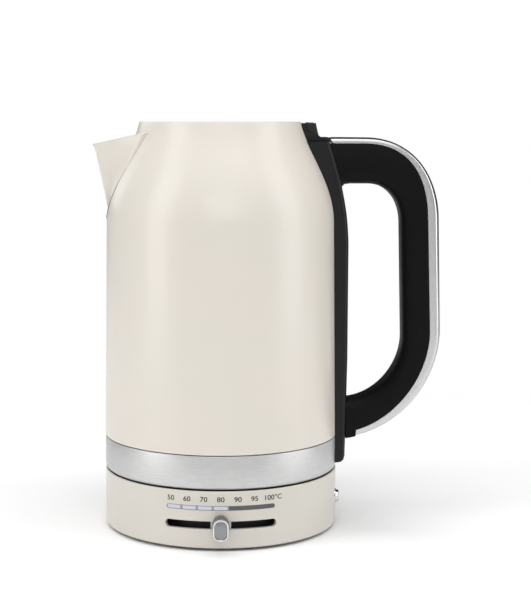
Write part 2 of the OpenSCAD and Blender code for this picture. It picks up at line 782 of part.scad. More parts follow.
module window_gasket() {
    color([0.3, 0.3, 0.3])
        on_jug()
            difference() {
                intersection() {
                    box([body_r - 30, -window_w / 2 - 1.6, window_z - 1.6],
                        [body_r + 5, window_w / 2 + 1.6, window_z + window_h + 1.6]);
                    rotate_extrude()
                        polygon(concat(skin(window_z - 5, window_z + window_h + 5, shell_t + fit),
                            back(skin(window_z - 5, window_z + window_h + 5, wall_gap - fit))));
                }
                box([body_r - 31, -window_w / 2, window_z],
                    [body_r + 6, window_w / 2, window_z + window_h]);
            }
}
// Side outlines of the handle. The loop's corners are long curves.
function strip_line() = concat([[mouth_r + 17, arm_top + 0.2]],
    bez([body_r + 19, arm_top - 0.2], [body_r + 47, arm_top - 0.7], [handle_x - 4.3, arm_top - 21.5],
    [handle_x - 2.1, arm_top - 51], 10),
    bez([handle_x, foot_arm_z + 71.3], [handle_x, foot_arm_z + 39.3],
    [handle_x - 23.3, foot_arm_z + 6.8], [body_r + 12.6, foot_arm_z], 12));
function grip_line() = concat([[mouth_r + 14, arm_top - strip_top_t]],
    bez([body_r + 16, arm_top - strip_top_t], [body_r + 42, arm_top - strip_top_t + 0.2],
    [grip_x - 3.9, arm_top - 20], [grip_x - 2.4, arm_top - 51], 10),
    bez([grip_x + 0.2, foot_arm_z + 71.3], [grip_x + 0.2, foot_arm_z + 41.3],
    [grip_x - 21.9, foot_arm_z + 12.3], [body_r + 12.8, foot_arm_z + 5], 12));
// The strip's inner face: the grip's outside, from the hinge block to the lower arm
function strip_seat() = concat([[mouth_r + 19.1, arm_top - strip_top_t]],
    [for (p = grip_line()) if (p[0] > mouth_r + 19.2) p]);
function loop_line() = concat([[body_r - 3, arm_top - arm_root]],
    bez([body_r + 19, arm_top - arm_root], [body_r + 32, arm_top - arm_root],
    [loop_x - 2.3, arm_top - 41], [loop_x - 2, arm_top - 57], 8),
    bez([loop_x, foot_arm_z + 67.3], [loop_x, foot_arm_z + 46.3], [loop_x - 16.3, foot_arm_z + 27.3],
    [body_r + 6.5, foot_arm_z + 24.6], 10),
    [[body_r - 3, foot_arm_z + 24]]);
// Stiff core, midway between the loop and the grip's outside, with a tongue into the bracket at each end
function core_line(g) = concat([[mouth_r + 17.9, arm_top - 9 + g]],
    bez([body_r + 16, arm_top - 9 + g], [body_r + 38, arm_top - 9 + g], [grip_x - 7 + g, arm_top - 24],
    [grip_x - 7 + g, arm_top - 51], 8),
    bez([grip_x - 5 + g, foot_arm_z + 69], [grip_x - 5 + g, foot_arm_z + 41],
    [grip_x - 26, foot_arm_z + 17 - g], [body_r + 8, foot_arm_z + 11 - g], 10),
    [[body_r - 1, foot_arm_z + 11 - g], [body_r - 1, foot_arm_z + 18 + g],
    [body_r + 8, foot_arm_z + 18 + g]],
    bez([body_r + 8, foot_arm_z + 18 + g], [grip_x - 30, foot_arm_z + 23 + g],
    [grip_x - 12 - g, foot_arm_z + 45], [grip_x - 12 - g, foot_arm_z + 69], 10),
    bez([grip_x - 14 - g, arm_top - 51], [grip_x - 14 - g, arm_top - 30],
    [body_r + 34, arm_top - 16 - g], [body_r + 16, arm_top - 16 - g], 8),
    [[mouth_r + 17.9, arm_top - 16 - g]]);
module handle_core() {
    color([0.3, 0.3, 0.32])
        on_jug()
            difference() {
                side(core_line(0), core_w);
                jug_solid(fit);
                for (z = handle_screw_z) rod_x(screw_r, 40, spine_x + 12, z);
            }
}
module handle_grip() {
    root = [[body_r + 12.5, foot_arm_z - 0.2], [body_r + 6, foot_arm_z - 2.1],
        [body_r - 3, foot_arm_z - 2.1]];
    color([0.13, 0.13, 0.13])
        on_jug()
            difference() {
                side(concat(grip_line(), root, back(loop_line())), handle_w);
                side(core_line(fit), core_w + 2 * fit);
                side(concat(spine_edge(fit), [[0, 0], [0, block_z]]), spine_w);
            }
}
module handle_strip() {
    color([0.8, 0.8, 0.8])
        on_jug() side(concat(strip_line(), back(strip_seat())), handle_w - 1);
}
module handle_screws() {
    color([0.6, 0.6, 0.6])
        on_jug()
            for (z = handle_screw_z) rod_x(screw_r - fit, skin_r(z - screw_r) + fit, spine_x + 8, z);
}

// ---- Lid ----

module lid_cover() {
    color([0.86, 0.85, 0.82])
        on_jug()
            difference() {
                rotate_extrude()
                    polygon([[0, jug_h - 3], [lid_r, jug_h - 3], [lid_r, jug_h - 1.3],
                        [lid_r - 0.6, jug_h - 0.8], [0, jug_h - 0.4]]);
                box([lid_back, -body_r, jug_h - 10], [body_r, body_r, jug_h + 5]);
            }
}
module lid_frame() {
    color([0.2, 0.2, 0.2])
        on_jug()
            difference() {
                union() {
                    difference() {
                        disc(lid_r, jug_h - 10, jug_h - 3);
                        disc(lid_r - 3, jug_h - 8.6, jug_h - 2);
                        box([lid_back, -body_r, jug_h - 8.6], [body_r, body_r, jug_h + 5]);
                    }
                    box([lid_back - 3, -barrel_w / 2, jug_h - 8.7],
                        [lid_back + 0.2, barrel_w / 2, jug_h - 3]);
                    for (s = [-1, 1]) {
                        y1 = s > 0 ? spring_w / 2 + 0.2 : -barrel_w / 2;
                        y2 = s > 0 ? barrel_w / 2 : -spring_w / 2 - 0.2;
                        box([lid_back + 0.1, y1, hinge_z - 1.4], [hinge_x, y2, hinge_z + hinge_r]);
                        rod_y(hinge_r, y1, y2, hinge_x, hinge_z);
                        box([hinge_x, s > 0 ? y1 : y2 - 2.8, hinge_z - 1.6],
                            [hinge_x + 4.3, s > 0 ? y1 + 2.8 : y2, hinge_z + 0.8]);
                    }
                }
                rod_y(pin_r + pin_gap, -barrel_w, barrel_w, hinge_x, hinge_z);
            }
}
module lid_liner() {
    color([0.75, 0.76, 0.77])
        on_jug()
            rotate_extrude()
                polygon([[0, jug_h - 14.5], [ledge_r - 2.4, jug_h - 14.5],
                    [ledge_r - 1.4, jug_h - 13.5], [ledge_r - 1.4, jug_h - 10],
                    [ledge_r - 2.4, jug_h - 10], [ledge_r - 2.4, jug_h - 13.4], [0, jug_h - 13.4]]);
}
module lid_seal() {
    color([0.8, 0.8, 0.8]) on_jug() tube(ledge_r - 1.3, lid_r - 0.8, seat_z + run, jug_h - 10);
}
module hinge_pin() {
    color([0.7, 0.7, 0.7]) on_jug() rod_y(pin_r, -block_w / 2, block_w / 2, hinge_x, hinge_z);
}
module hinge_spring() {
    color([0.5, 0.5, 0.5])
        on_jug()
            translate([hinge_x, -spring_w / 2, hinge_z]) rotate([-90, 0, 0])
                coil(pin_r + 0.55, 0.35, 0.05, spring_w - 0.05, 6);
}
module lid_button() {
    color([0.6, 0.6, 0.62])
        on_jug() {
            box([button_x - button_d / 2, -button_w / 2, jug_h - 3.2],
                [button_x + button_d / 2, button_w / 2, jug_h - 0.2]);
            for (s = [-1, 1])
                translate([button_x, s * (button_w / 2 - 0.8), jug_h])
                    side([[-1.4, -3.2], [-1.4, -7], [-0.8, -7], [0.4, -5.8], [0.4, -3.2]], 1.6);
        }
}
module button_spring() {
    color([0.6, 0.6, 0.6]) on_jug() translate([button_x - 0.4, 0, 0]) coil(1.1, 0.22, block_z + 1.7,
        jug_h - 3.3, 5);
}
// A fork round the button's spring: two noses at the lid's tail, and two ramps under the button's legs
module lid_latch() {
    color([0.35, 0.35, 0.37])
        on_jug()
            translate([button_x, 0, jug_h]) {
                for (s = [-1, 1]) {
                    translate([0, s * 3, 0])
                        side([[-2.9, -11], [1.9, -11], [1.9, -9.6], [-1.6, -9.6], [-1.6, -6],
                            [-2.9, -6]], 2.4);
                    translate([0, s * 5, 0])
                        side([[-0.6, -11], [1.9, -11], [1.9, -5.22], [1.2, -5.22], [-0.6, -7.02]], 1.6);
                }
                side([[1.1, -11], [1.9, -11], [1.9, -9], [1.1, -9]], 11.6);
            }
}

base_housing();
base_top_plate();
connector_plug();
plug_contacts();
earth_contact();
contact_block();
rest_pins();
base_cover();
foot_ring();
cover_screws();
control_board();
relay();
capacitor();
led_board();
light_bar();
slide_track();
power_bezel();
power_switch();
lead_gland();
terminal_block();
plug_leads();
temperature_knob();
knob_face();
knob_carriage();
power_button();
button_plunger();
jug_socket();
socket_contacts();
outer_shell();
steel_ring();
jug_cover();
jug_screws();
inner_vessel();
heater_plate();
heating_element();
temperature_sensor();
dry_boil_switch();
spout();
pour_duct();
neck_collar();
spine();
hinge_block();
water_window();
window_gasket();
handle_core();
handle_grip();
handle_strip();
handle_screws();
hinge_pin();
hinge_spring();
filter_frame();
filter_mesh();
lid_cover();
lid_frame();
lid_liner();
lid_seal();
lid_button();
button_spring();
lid_latch();
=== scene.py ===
import json
import math

import bmesh
import bpy
from mathutils import Matrix, Vector


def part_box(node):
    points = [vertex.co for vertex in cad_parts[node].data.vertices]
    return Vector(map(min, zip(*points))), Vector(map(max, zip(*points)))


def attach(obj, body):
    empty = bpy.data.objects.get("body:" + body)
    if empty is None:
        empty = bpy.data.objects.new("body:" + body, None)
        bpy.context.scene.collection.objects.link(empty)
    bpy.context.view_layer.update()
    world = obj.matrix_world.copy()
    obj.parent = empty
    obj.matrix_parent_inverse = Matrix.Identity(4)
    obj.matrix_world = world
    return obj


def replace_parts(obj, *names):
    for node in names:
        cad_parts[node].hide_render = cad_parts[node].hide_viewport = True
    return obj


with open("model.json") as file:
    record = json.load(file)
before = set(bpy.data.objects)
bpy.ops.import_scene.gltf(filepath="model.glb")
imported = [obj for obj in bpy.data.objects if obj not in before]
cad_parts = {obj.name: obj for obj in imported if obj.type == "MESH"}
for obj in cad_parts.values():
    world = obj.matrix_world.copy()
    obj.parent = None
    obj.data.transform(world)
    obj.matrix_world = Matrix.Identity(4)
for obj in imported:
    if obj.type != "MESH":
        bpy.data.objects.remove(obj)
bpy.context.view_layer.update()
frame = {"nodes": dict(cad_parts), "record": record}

# ---------------------------------------------------------------- The studio
# A white sweep, a large soft light overhead, a tall soft box on either side, a fill from the front and a
# weaker light behind. The surroundings are brighter above and in front than below and behind.
# The kettle stands in the lower part of the view, so that the jug has room to lift off its base.
scene = bpy.context.scene
scene.view_settings.view_transform = "Standard"
camera = bpy.data.objects.new("camera", bpy.data.cameras.new("camera"))
camera.data.lens = 88.4
camera.data.sensor_width = 36.0
camera.data.shift_x = 0.0745
camera.location = (0, -0.985, 0.268)
camera.rotation_euler = (math.radians(83.25), 0, 0)
scene.collection.objects.link(camera)
scene.camera = camera


def add(tree, kind, links=None, **settings):
    """A node with its settings. links gives its inputs, each a socket to join or a plain value."""
    node = tree.nodes.new(kind)
    for key, value in settings.items():
        setattr(node, key, value)
    for key, value in (links or {}).items():
        if isinstance(value, bpy.types.NodeSocket):
            tree.links.new(value, node.inputs[key])
        else:
            node.inputs[key].default_value = value
    return node


def shader(name, kind="ShaderNodeBsdfPrincipled"):
    """A new material whose output is one shader. Returns the material, its tree and the shader."""
    mat = bpy.data.materials.new(name)
    mat.use_nodes = True
    tree = mat.node_tree
    tree.nodes.clear()
    bsdf = tree.nodes.new(kind)
    add(tree, "ShaderNodeOutputMaterial", {"Surface": bsdf.outputs[0]})
    return mat, tree, bsdf


floor_mat, tree, matte = shader("white_floor", "ShaderNodeBsdfDiffuse")
matte.inputs["Color"].default_value = (0.93, 0.93, 0.93, 1)
split = add(tree, "ShaderNodeVectorMath", {0: add(tree, "ShaderNodeTexCoord").outputs["Object"]},
            operation="LENGTH")
far = add(tree, "ShaderNodeMapRange", {"Value": split.outputs["Value"], "From Min": 0.22, "From Max": 0.62},
          interpolation_type="SMOOTHSTEP")
glow = add(tree, "ShaderNodeEmission", {"Color": (1, 1, 1, 1), "Strength": 1.0})
seen = add(tree, "ShaderNodeMath", {0: far.outputs["Result"],
                                    1: add(tree, "ShaderNodeLightPath").outputs["Is Camera Ray"]},
                                    operation="MULTIPLY")
both = add(tree, "ShaderNodeMixShader", {"Fac": seen.outputs[0], 1: matte.outputs[0], 2: glow.outputs[0]})
tree.links.new(both.outputs[0], tree.nodes["Material Output"].inputs["Surface"])
bpy.ops.mesh.primitive_circle_add(vertices=128, radius=9, fill_type="NGON")
floor = bpy.context.object
floor.name = "floor"
floor.data.materials.append(floor_mat)

scene.world = bpy.data.worlds.new("studio")
scene.world.use_nodes = True
sky = scene.world.node_tree
sky.nodes.clear()
white = add(sky, "ShaderNodeBackground", {"Color": (1, 1, 1, 1), "Strength": 1.0})
toward = add(sky, "ShaderNodeSeparateXYZ", {0: add(sky, "ShaderNodeTexCoord").outputs["Generated"]})
high = add(sky, "ShaderNodeMapRange", {"Value": toward.outputs["Z"], "From Min": -0.05, "From Max": 0.7,
                                       "To Min": 0.10, "To Max": 0.5})
front = add(sky, "ShaderNodeMapRange", {"Value": toward.outputs["Y"], "From Min": 0.35, "From Max": -0.35,
                                        "To Min": 0.25, "To Max": 1.0})
level = add(sky, "ShaderNodeMath", {0: high.outputs["Result"], 1: front.outputs["Result"]},
            operation="MULTIPLY")
room = add(sky, "ShaderNodeBackground", {"Color": (0.97, 0.98, 1.0, 1), "Strength": level.outputs[0]})
seen = add(sky, "ShaderNodeLightPath").outputs["Is Camera Ray"]
both = add(sky, "ShaderNodeMixShader", {"Fac": seen, 1: room.outputs[0], 2: white.outputs[0]})
add(sky, "ShaderNodeOutputWorld", {"Surface": both.outputs[0]})


def soft_box(name, at, size, power, aim=(0.02, 0, 0.14)):
    light = bpy.data.lights.new(name, "AREA")
    light.shape = "RECTANGLE"
    light.size, light.size_y = size
    light.energy = power
    box = bpy.data.objects.new(name, light)
    box.location = at
    box.rotation_euler = (Vector(aim) - box.location).to_track_quat("-Z", "Y").to_euler()
    scene.collection.objects.link(box)


soft_box("overhead", (0.0, -0.1, 1.7), (2.0, 2.0), 24)
soft_box("left_box", (-1.25, -0.62, 0.55), (0.6, 1.6), 9.5)
soft_box("right_box", (1.32, -0.42, 0.55), (0.7, 1.6), 9.5)
soft_box("front_fill", (0.1, -2.6, 1.2), (1.6, 1.2), 12)
soft_box("back_left", (-1.2, 1.2, 0.9), (0.7, 1.2), 4)

# ---------------------------------------------------------------- The painted body
# A drawn steel shell, enamelled in cream with a fine pearl, straight-walled with a shoulder that narrows
# to an open rim. Its wall is cut for the pouring passage, the hinge block and the water window.


def box(node):
    """The two corners of one piece of the kettle, in millimetres."""
    low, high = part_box(node)
    return Vector(low) * 1000, Vector(high) * 1000


def bezier(a, b, c, d, n):
    """Points along a cubic curve, both ends included."""
    out = []
    for i in range(n + 1):
        t, s = i / n, 1 - i / n
        out.append(tuple(s**3 * p + 3 * s * s * t * q + 3 * s * t * t * r + t**3 * u
                         for p, q, r, u in zip(a, b, c, d)))
    return out


def table(points, at):
    """Reads a rising list of (place, value) points at one place."""
    for (x1, y1), (x2, y2) in zip(points, points[1:]):
        if at <= x2:
            return y1 + (y2 - y1) * max(0.0, (at - x1) / (x2 - x1))
    return points[-1][1]


def smooth(obj, sharp):
    """Merges doubles, turns faces outwards, and shades smooth up to the sharp angle."""
    shape = bmesh.new()
    shape.from_mesh(obj.data)
    bmesh.ops.remove_doubles(shape, verts=shape.verts, dist=1e-7)
    bmesh.ops.recalc_face_normals(shape, faces=shape.faces)
    for face in shape.faces:
        face.smooth = True
    shape.to_mesh(obj.data)
    shape.free()
    obj.data.set_sharp_from_angle(angle=math.radians(sharp))


def piece(name, shape, mat, body, sharp=35):
    """One object from (points in millimetres, faces), riding on a body."""
    verts, faces = shape
    mesh = bpy.data.meshes.new(name)
    mesh.from_pydata([Vector(v) * 0.001 for v in verts], [], faces)
    obj = bpy.data.objects.new(name, mesh)
    scene.collection.objects.link(obj)
    smooth(obj, sharp)
    mesh.materials.append(mat)
    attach(obj, body)
    return obj


def turned(outline, steps=192, matrix=None):
    """A closed outline of (radius, height) turned about an axis."""
    n = len(outline)
    verts = [(r * math.cos(a), r * math.sin(a), z)
             for a in (2 * math.pi * i / steps for i in range(steps)) for r, z in outline]
    faces = [(i * n + k, (i + 1) % steps * n + k, (i + 1) % steps * n + (k + 1) % n, i * n + (k + 1) % n)
             for i in range(steps) for k in range(n) if outline[k][0] + outline[(k + 1) % n][0] > 0]
    if matrix:
        verts = [matrix @ Vector(v) for v in verts]
    return verts, faces


def loft(rings):
    """A solid through closed rings of points that all have the same count, with both ends capped."""
    n = len(rings[0])
    verts = [point for ring in rings for point in ring]
    faces = [(i * n + k, i * n + (k + 1) % n, (i + 1) * n + (k + 1) % n, (i + 1) * n + k)
             for i in range(len(rings) - 1) for k in range(n)]
    return verts, faces + [tuple(range(n)), tuple(range((len(rings) - 1) * n, len(rings) * n))]


def block(low, high):
    """A box between two corners."""
    return loft([[(x, low[1], low[2]), (x, high[1], low[2]), (x, high[1], high[2]), (x, low[1], high[2])]
                 for x in (low[0], high[0])])


def carve(obj, shape):
    """Takes one shape out of a piece."""
    mesh = bpy.data.meshes.new("tool")
    mesh.from_pydata([Vector(v) * 0.001 for v in shape[0]], [], shape[1])
    tool = bpy.data.objects.new("tool", mesh)
    scene.collection.objects.link(tool)
    smooth(tool, 35)
    cut = obj.modifiers.new("cut", "BOOLEAN")
    cut.operation = "DIFFERENCE"
    cut.solver = "EXACT"
    cut.object = tool
    graph = bpy.context.evaluated_depsgraph_get()
    result = bpy.data.meshes.new_from_object(obj.evaluated_get(graph))
    obj.modifiers.clear()
    obj.data = result
    bpy.data.objects.remove(tool)


FLOAT, COLOR, VECTOR = "NodeSocketFloat", "NodeSocketColor", "NodeSocketVector"


def effect(name, inputs, outputs):
    """An empty node group. Returns the group, its input node and its output node."""
    group = bpy.data.node_groups.new(name, "ShaderNodeTree")
    for label, kind in inputs:
        group.interface.new_socket(label, in_out="INPUT", socket_type=kind)
    for label, kind in outputs:
        group.interface.new_socket(label, in_out="OUTPUT", socket_type=kind)
    return group, group.nodes.new("NodeGroupInput"), group.nodes.new("NodeGroupOutput")


def place(tree):
    return add(tree, "ShaderNodeTexCoord").outputs["Object"]


def bump(tree, bsdf, height, distance, strength):
    node = add(tree, "ShaderNodeBump", {"Height": height, "Distance": distance, "Strength": strength})
    tree.links.new(node.outputs["Normal"], bsdf.inputs["Normal"])


# The slow pink and green drift, fine flake and orange peel of a sprayed pearl enamel
pearl, given, made = effect("pearl_paint", [("Place", VECTOR), ("Base", COLOR), ("Rough", FLOAT)],
                            [("Color", COLOR), ("Rough", FLOAT), ("Height", FLOAT)])
drift = add(pearl, "ShaderNodeTexNoise", {"Vector": given.outputs["Place"], "Scale": 16.0, "Detail": 1.0})
hues = add(pearl, "ShaderNodeMix", {"Factor": drift.outputs["Fac"], "A": (1.03, 0.98, 0.985, 1),
                                    "B": (0.975, 1.01, 0.99, 1)}, data_type="RGBA")
tint = add(pearl, "ShaderNodeMix", {"Factor": 1.0, "A": given.outputs["Base"], "B": hues.outputs["Result"]},
           data_type="RGBA", blend_type="MULTIPLY")
flake = add(pearl, "ShaderNodeTexVoronoi", {"Vector": given.outputs["Place"], "Scale": 2600.0})
spark = add(pearl, "ShaderNodeMapRange", {"Value": flake.outputs["Distance"], "From Max": 0.7,
                                          "To Min": 1.015, "To Max": 0.985})
fleck = add(pearl, "ShaderNodeVectorMath", {0: tint.outputs["Result"], 1: spark.outputs["Result"]},
            operation="MULTIPLY")
peel = add(pearl, "ShaderNodeTexNoise", {"Vector": given.outputs["Place"], "Scale": 420.0, "Detail": 2.0})
smear = add(pearl, "ShaderNodeTexNoise", {"Vector": given.outputs["Place"], "Scale": 30.0, "Detail": 3.0})
wiped = add(pearl, "ShaderNodeMath", {0: smear.outputs["Fac"], 1: 0.08, 2: given.outputs["Rough"]},
            operation="MULTIPLY_ADD")
pearl.links.new(fleck.outputs[0], made.inputs["Color"])
pearl.links.new(wiped.outputs[0], made.inputs["Rough"])
pearl.links.new(peel.outputs["Fac"], made.inputs["Height"])


def painted(name, base, rough, coat):
    """Gloss cream: pearl enamel on steel, or the same colour moulded."""
    mat, tree, bsdf = shader(name)
    paint = add(tree, "ShaderNodeGroup", node_tree=pearl)
    tree.links.new(place(tree), paint.inputs["Place"])
    paint.inputs["Base"].default_value = base
    paint.inputs["Rough"].default_value = rough
    tree.links.new(paint.outputs["Color"], bsdf.inputs["Base Color"])
    tree.links.new(paint.outputs["Rough"], bsdf.inputs["Roughness"])
    bsdf.inputs["Coat Weight"].default_value = coat
    bsdf.inputs["Coat Roughness"].default_value = 0.14
    bump(tree, bsdf, paint.outputs["Height"], 0.00003, 0.2)
    return mat


enamel = painted("cream_enamel", (0.66, 0.622, 0.562, 1), 0.34, 0.25)
shell_low, shell_high = box("outer_shell")
BODY_R, RIM_Z = shell_high.y, shell_high.z
JUG_Z = box("steel_ring")[0].z
MOUTH_R = 54.1
SHOULDER_H = 63.7
SHELL_T = 1.2
SHOULDER_R = BODY_R - 1.9
SHOULDER_Z = RIM_Z - SHOULDER_H
SKIN = [(BODY_R, shell_low.z)] + bezier(
    (SHOULDER_R, SHOULDER_Z), (SHOULDER_R - 1.1, SHOULDER_Z + 0.39 * SHOULDER_H),
    (MOUTH_R + 3.9, SHOULDER_Z + 0.71 * SHOULDER_H), (MOUTH_R, RIM_Z - 0.35), 40)
rim = [(MOUTH_R - 0.2, RIM_Z - 0.08), (MOUTH_R - 0.6, RIM_Z), (MOUTH_R - 1.0, RIM_Z - 0.08)]
body_shell = piece("body_shell", turned(SKIN + rim + [(r - SHELL_T, z) for r, z in SKIN[::-1]], 256),
                   enamel, "jug")
duct_low, duct_high = box("pour_duct")
block_low, block_high = box("hinge_block")
window_low, window_high = box("water_window")
GAP = Vector((0, 0.1, 0.1))
for low, high in ((Vector((-BODY_R - 5, duct_low.y, duct_low.z)), Vector((-20, duct_high.y, duct_high.z))),
                  (Vector((30, block_low.y, block_low.z)), Vector((BODY_R + 5, block_high.y, RIM_Z + 5))),
                  (Vector((30, window_low.y, window_low.z)),
                   Vector((BODY_R + 5, window_high.y, window_high.z)))):
    carve(body_shell, block(low - GAP, high + GAP))
smooth(body_shell, 35)
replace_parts(body_shell, "outer_shell")

# ---------------------------------------------------------------- The steel ring
# A pressed stainless band round the jug's foot, brushed round its length, with a rolled lower edge.
# The painted body drops into it, and the joint shows as a fine dark line.
brush, given, made = effect("brushed_lines", [("Along", FLOAT), ("Across", FLOAT)],
                            [("Shade", FLOAT), ("Height", FLOAT)])
at = add(brush, "ShaderNodeCombineXYZ", {"X": given.outputs["Along"], "Y": given.outputs["Across"]})
fine = add(brush, "ShaderNodeVectorMath", {0: at.outputs[0], 1: (22.0, 5200.0, 1.0)}, operation="MULTIPLY")
hair = add(brush, "ShaderNodeTexNoise", {"Vector": fine.outputs[0], "Scale": 1.0, "Detail": 4.0,
                                         "Roughness": 0.7})
wide = add(brush, "ShaderNodeVectorMath", {0: at.outputs[0], 1: (7.0, 1100.0, 1.0)}, operation="MULTIPLY")
streak = add(brush, "ShaderNodeTexNoise", {"Vector": wide.outputs[0], "Scale": 1.0, "Detail": 2.0})
less = add(brush, "ShaderNodeMath", {0: hair.outputs["Fac"], 1: 0.6}, operation="MULTIPLY")
lines = add(brush, "ShaderNodeMath", {0: streak.outputs["Fac"], 1: 0.4, 2: less.outputs[0]},
            operation="MULTIPLY_ADD")
brush.links.new(lines.outputs[0], made.inputs["Shade"])
brush.links.new(hair.outputs["Fac"], made.inputs["Height"])


def round_jug(tree):
    """The angle about the jug's axis, and the height."""
    at = add(tree, "ShaderNodeSeparateXYZ", {0: place(tree)})
    angle = add(tree, "ShaderNodeMath", {0: at.outputs["Y"], 1: at.outputs["X"]}, operation="ARCTAN2")
    return angle.outputs[0], at.outputs["Z"]


def brushed(name, base, rough, spread, directions, aniso=0.0):
    """Brushed metal. directions takes the material's tree and returns along and across the lines."""
    mat, tree, bsdf = shader(name)
    along, across = directions(tree)
    mark = add(tree, "ShaderNodeGroup", node_tree=brush)
    tree.links.new(along, mark.inputs["Along"])
    tree.links.new(across, mark.inputs["Across"])
    shade = add(tree, "ShaderNodeMapRange", {"Value": mark.outputs["Shade"], "From Min": 0.35,
                                             "From Max": 0.65, "To Min": 1 - spread, "To Max": 1 + spread})
    tone = add(tree, "ShaderNodeVectorMath", {0: base, 1: shade.outputs["Result"]}, operation="MULTIPLY")
    dull = add(tree, "ShaderNodeMapRange", {"Value": mark.outputs["Shade"], "From Min": 0.3, "From Max": 0.7,
                                            "To Min": rough - 0.05, "To Max": rough + 0.07})
    tree.links.new(tone.outputs[0], bsdf.inputs["Base Color"])
    tree.links.new(dull.outputs["Result"], bsdf.inputs["Roughness"])
    bsdf.inputs["Metallic"].default_value = 1.0
    if aniso:
        bsdf.inputs["Anisotropic"].default_value = aniso
        turn = add(tree, "ShaderNodeTangent", direction_type="RADIAL", axis="Z")
        tree.links.new(turn.outputs["Tangent"], bsdf.inputs["Tangent"])
    bump(tree, bsdf, mark.outputs["Height"], 0.00001, 0.3)
    return mat


ring_steel = brushed("ring_steel", (0.60, 0.60, 0.595), 0.47, 0.10, round_jug, 0.3)
ring_high = box("steel_ring")[1]
outline = [(BODY_R - 4.2, JUG_Z + 1.6), (BODY_R - 4.2, JUG_Z + 0.4)]
outline += bezier((BODY_R - 3.4, JUG_Z), (BODY_R - 1.2, JUG_Z), (BODY_R, JUG_Z + 1.2),
                  (BODY_R, JUG_Z + 3.2), 10)
outline += [(BODY_R, ring_high.z - 0.35), (BODY_R - 0.1, ring_high.z - 0.08), (BODY_R - 0.4, ring_high.z),
            (BODY_R - 1.4, ring_high.z), (BODY_R - 1.4, JUG_Z + 3.4), (BODY_R - 2.6, JUG_Z + 1.6)]
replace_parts(piece("ring_band", turned(outline, 256), ring_steel, "jug", 30), "steel_ring")

# ---------------------------------------------------------------- The spout
# Two pressed cheeks folded to a V, welded over the passage in the body's wall and enamelled with it.
# Its mouth slopes down to a lip that turns out a little, and a fine dark line shows the joint.
SPOUT_FOOT = box("spout")[0].z
SPOUT_H = 48.6
HALF_W = 29.0
NOSE_R = 6.0
nose_line = bezier((0.1, 75.2), (0.38, 77.4), (0.66, 80.8), (1.0, 84.0), 24)


def skin_at(z):
    return table([(b, a) for a, b in SKIN], z)


def spout_section(z):
    """A level section from the seam on one side, round the nose, to the seam on the other."""
    t = max((z - SPOUT_FOOT) / SPOUT_H, 0.0)
    half = max(HALF_W * t**0.36, 0.3)
    seam = math.sqrt(skin_at(z) ** 2 - half**2) + 0.05
    nose = max(table(nose_line, t) + max(0.0, t - 0.9) ** 2 * 118, seam + 0.4)
    r = min(NOSE_R, 1.0 + 5.5 * t, 0.8 * half)
    reach, rise = seam - (nose - r), half
    bend = math.atan2(rise, reach) - math.acos(min(1.0, r / math.hypot(reach, rise)))
    half_points = [(nose - r + r * math.cos(bend * k / 8), r * math.sin(bend * k / 8)) for k in range(9)]
    x1, y1 = half_points[-1]
    half_points += [(x1 + (seam - x1) * k / 9, y1 + (half - y1) * k / 9) for k in range(1, 10)]
    return [(-x, -y) for x, y in half_points[::-1]] + [(-x, y) for x, y in half_points[1:]]


ROWS, SECTION = 36, 35
tops = []
for k in range(SECTION):
    z = RIM_Z - 12
    for _ in range(8):
        z = RIM_Z - 8.3 - 0.229 * (-spout_section(z)[k][0] - MOUTH_R - 1.9)
    tops.append(z)
rows = []
for i in range(ROWS + 1):
    heights = [SPOUT_FOOT + 0.15 + (top - SPOUT_FOOT - 0.15) * i / ROWS for top in tops]
    rows.append([(*spout_section(z)[k], z) for k, z in enumerate(heights)])
sheet = ([point for row in rows for point in row],
         [(i * SECTION + k, i * SECTION + k + 1, (i + 1) * SECTION + k + 1, (i + 1) * SECTION + k)
          for i in range(ROWS) for k in range(SECTION - 1)])
spout = piece("spout_cheeks", sheet, enamel, "jug", 60)
if sum(face.normal.x * face.area for face in spout.data.polygons) > 0:
    spout.data.flip_normals()
wall = spout.modifiers.new("wall", "SOLIDIFY")
wall.thickness = SHELL_T * 0.001
wall.offset = -1
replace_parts(spout, "spout")

dark_joint, tree, bsdf = shader("dark_joint")
dust = add(tree, "ShaderNodeTexNoise", {"Vector": place(tree), "Scale": 900.0})
tone = add(tree, "ShaderNodeMapRange", {"Value": dust.outputs["Fac"], "To Min": 0.05, "To Max": 0.13})
tree.links.new(tone.outputs["Result"], bsdf.inputs["Base Color"])
bsdf.inputs["Roughness"].default_value = 0.7


def rod(points, radii, sides=8):
    """A round rod along a list of points, with a radius at each."""
    rings = []
    for i, point in enumerate(points):
        ahead = (Vector(points[min(i + 1, len(points) - 1)]) - Vector(points[max(i - 1, 0)])).normalized()
        side = ahead.cross(Vector((0, 0.02, 1))).normalized()
        up = side.cross(ahead)
        rings.append([Vector(point) + (side * math.cos(a) + up * math.sin(a)) * radii[i]
                      for a in (2 * math.pi * k / sides for k in range(sides))])
    return loft(rings)


for label, side in (("front", 0), ("back", -1)):
    path = [row[side] for row in rows[:22]]
    piece(f"spout_joint_{label}", rod(path, [0.34 * (1 - 0.85 * i / len(path)) for i in range(len(path))]),
          dark_joint, "jug")

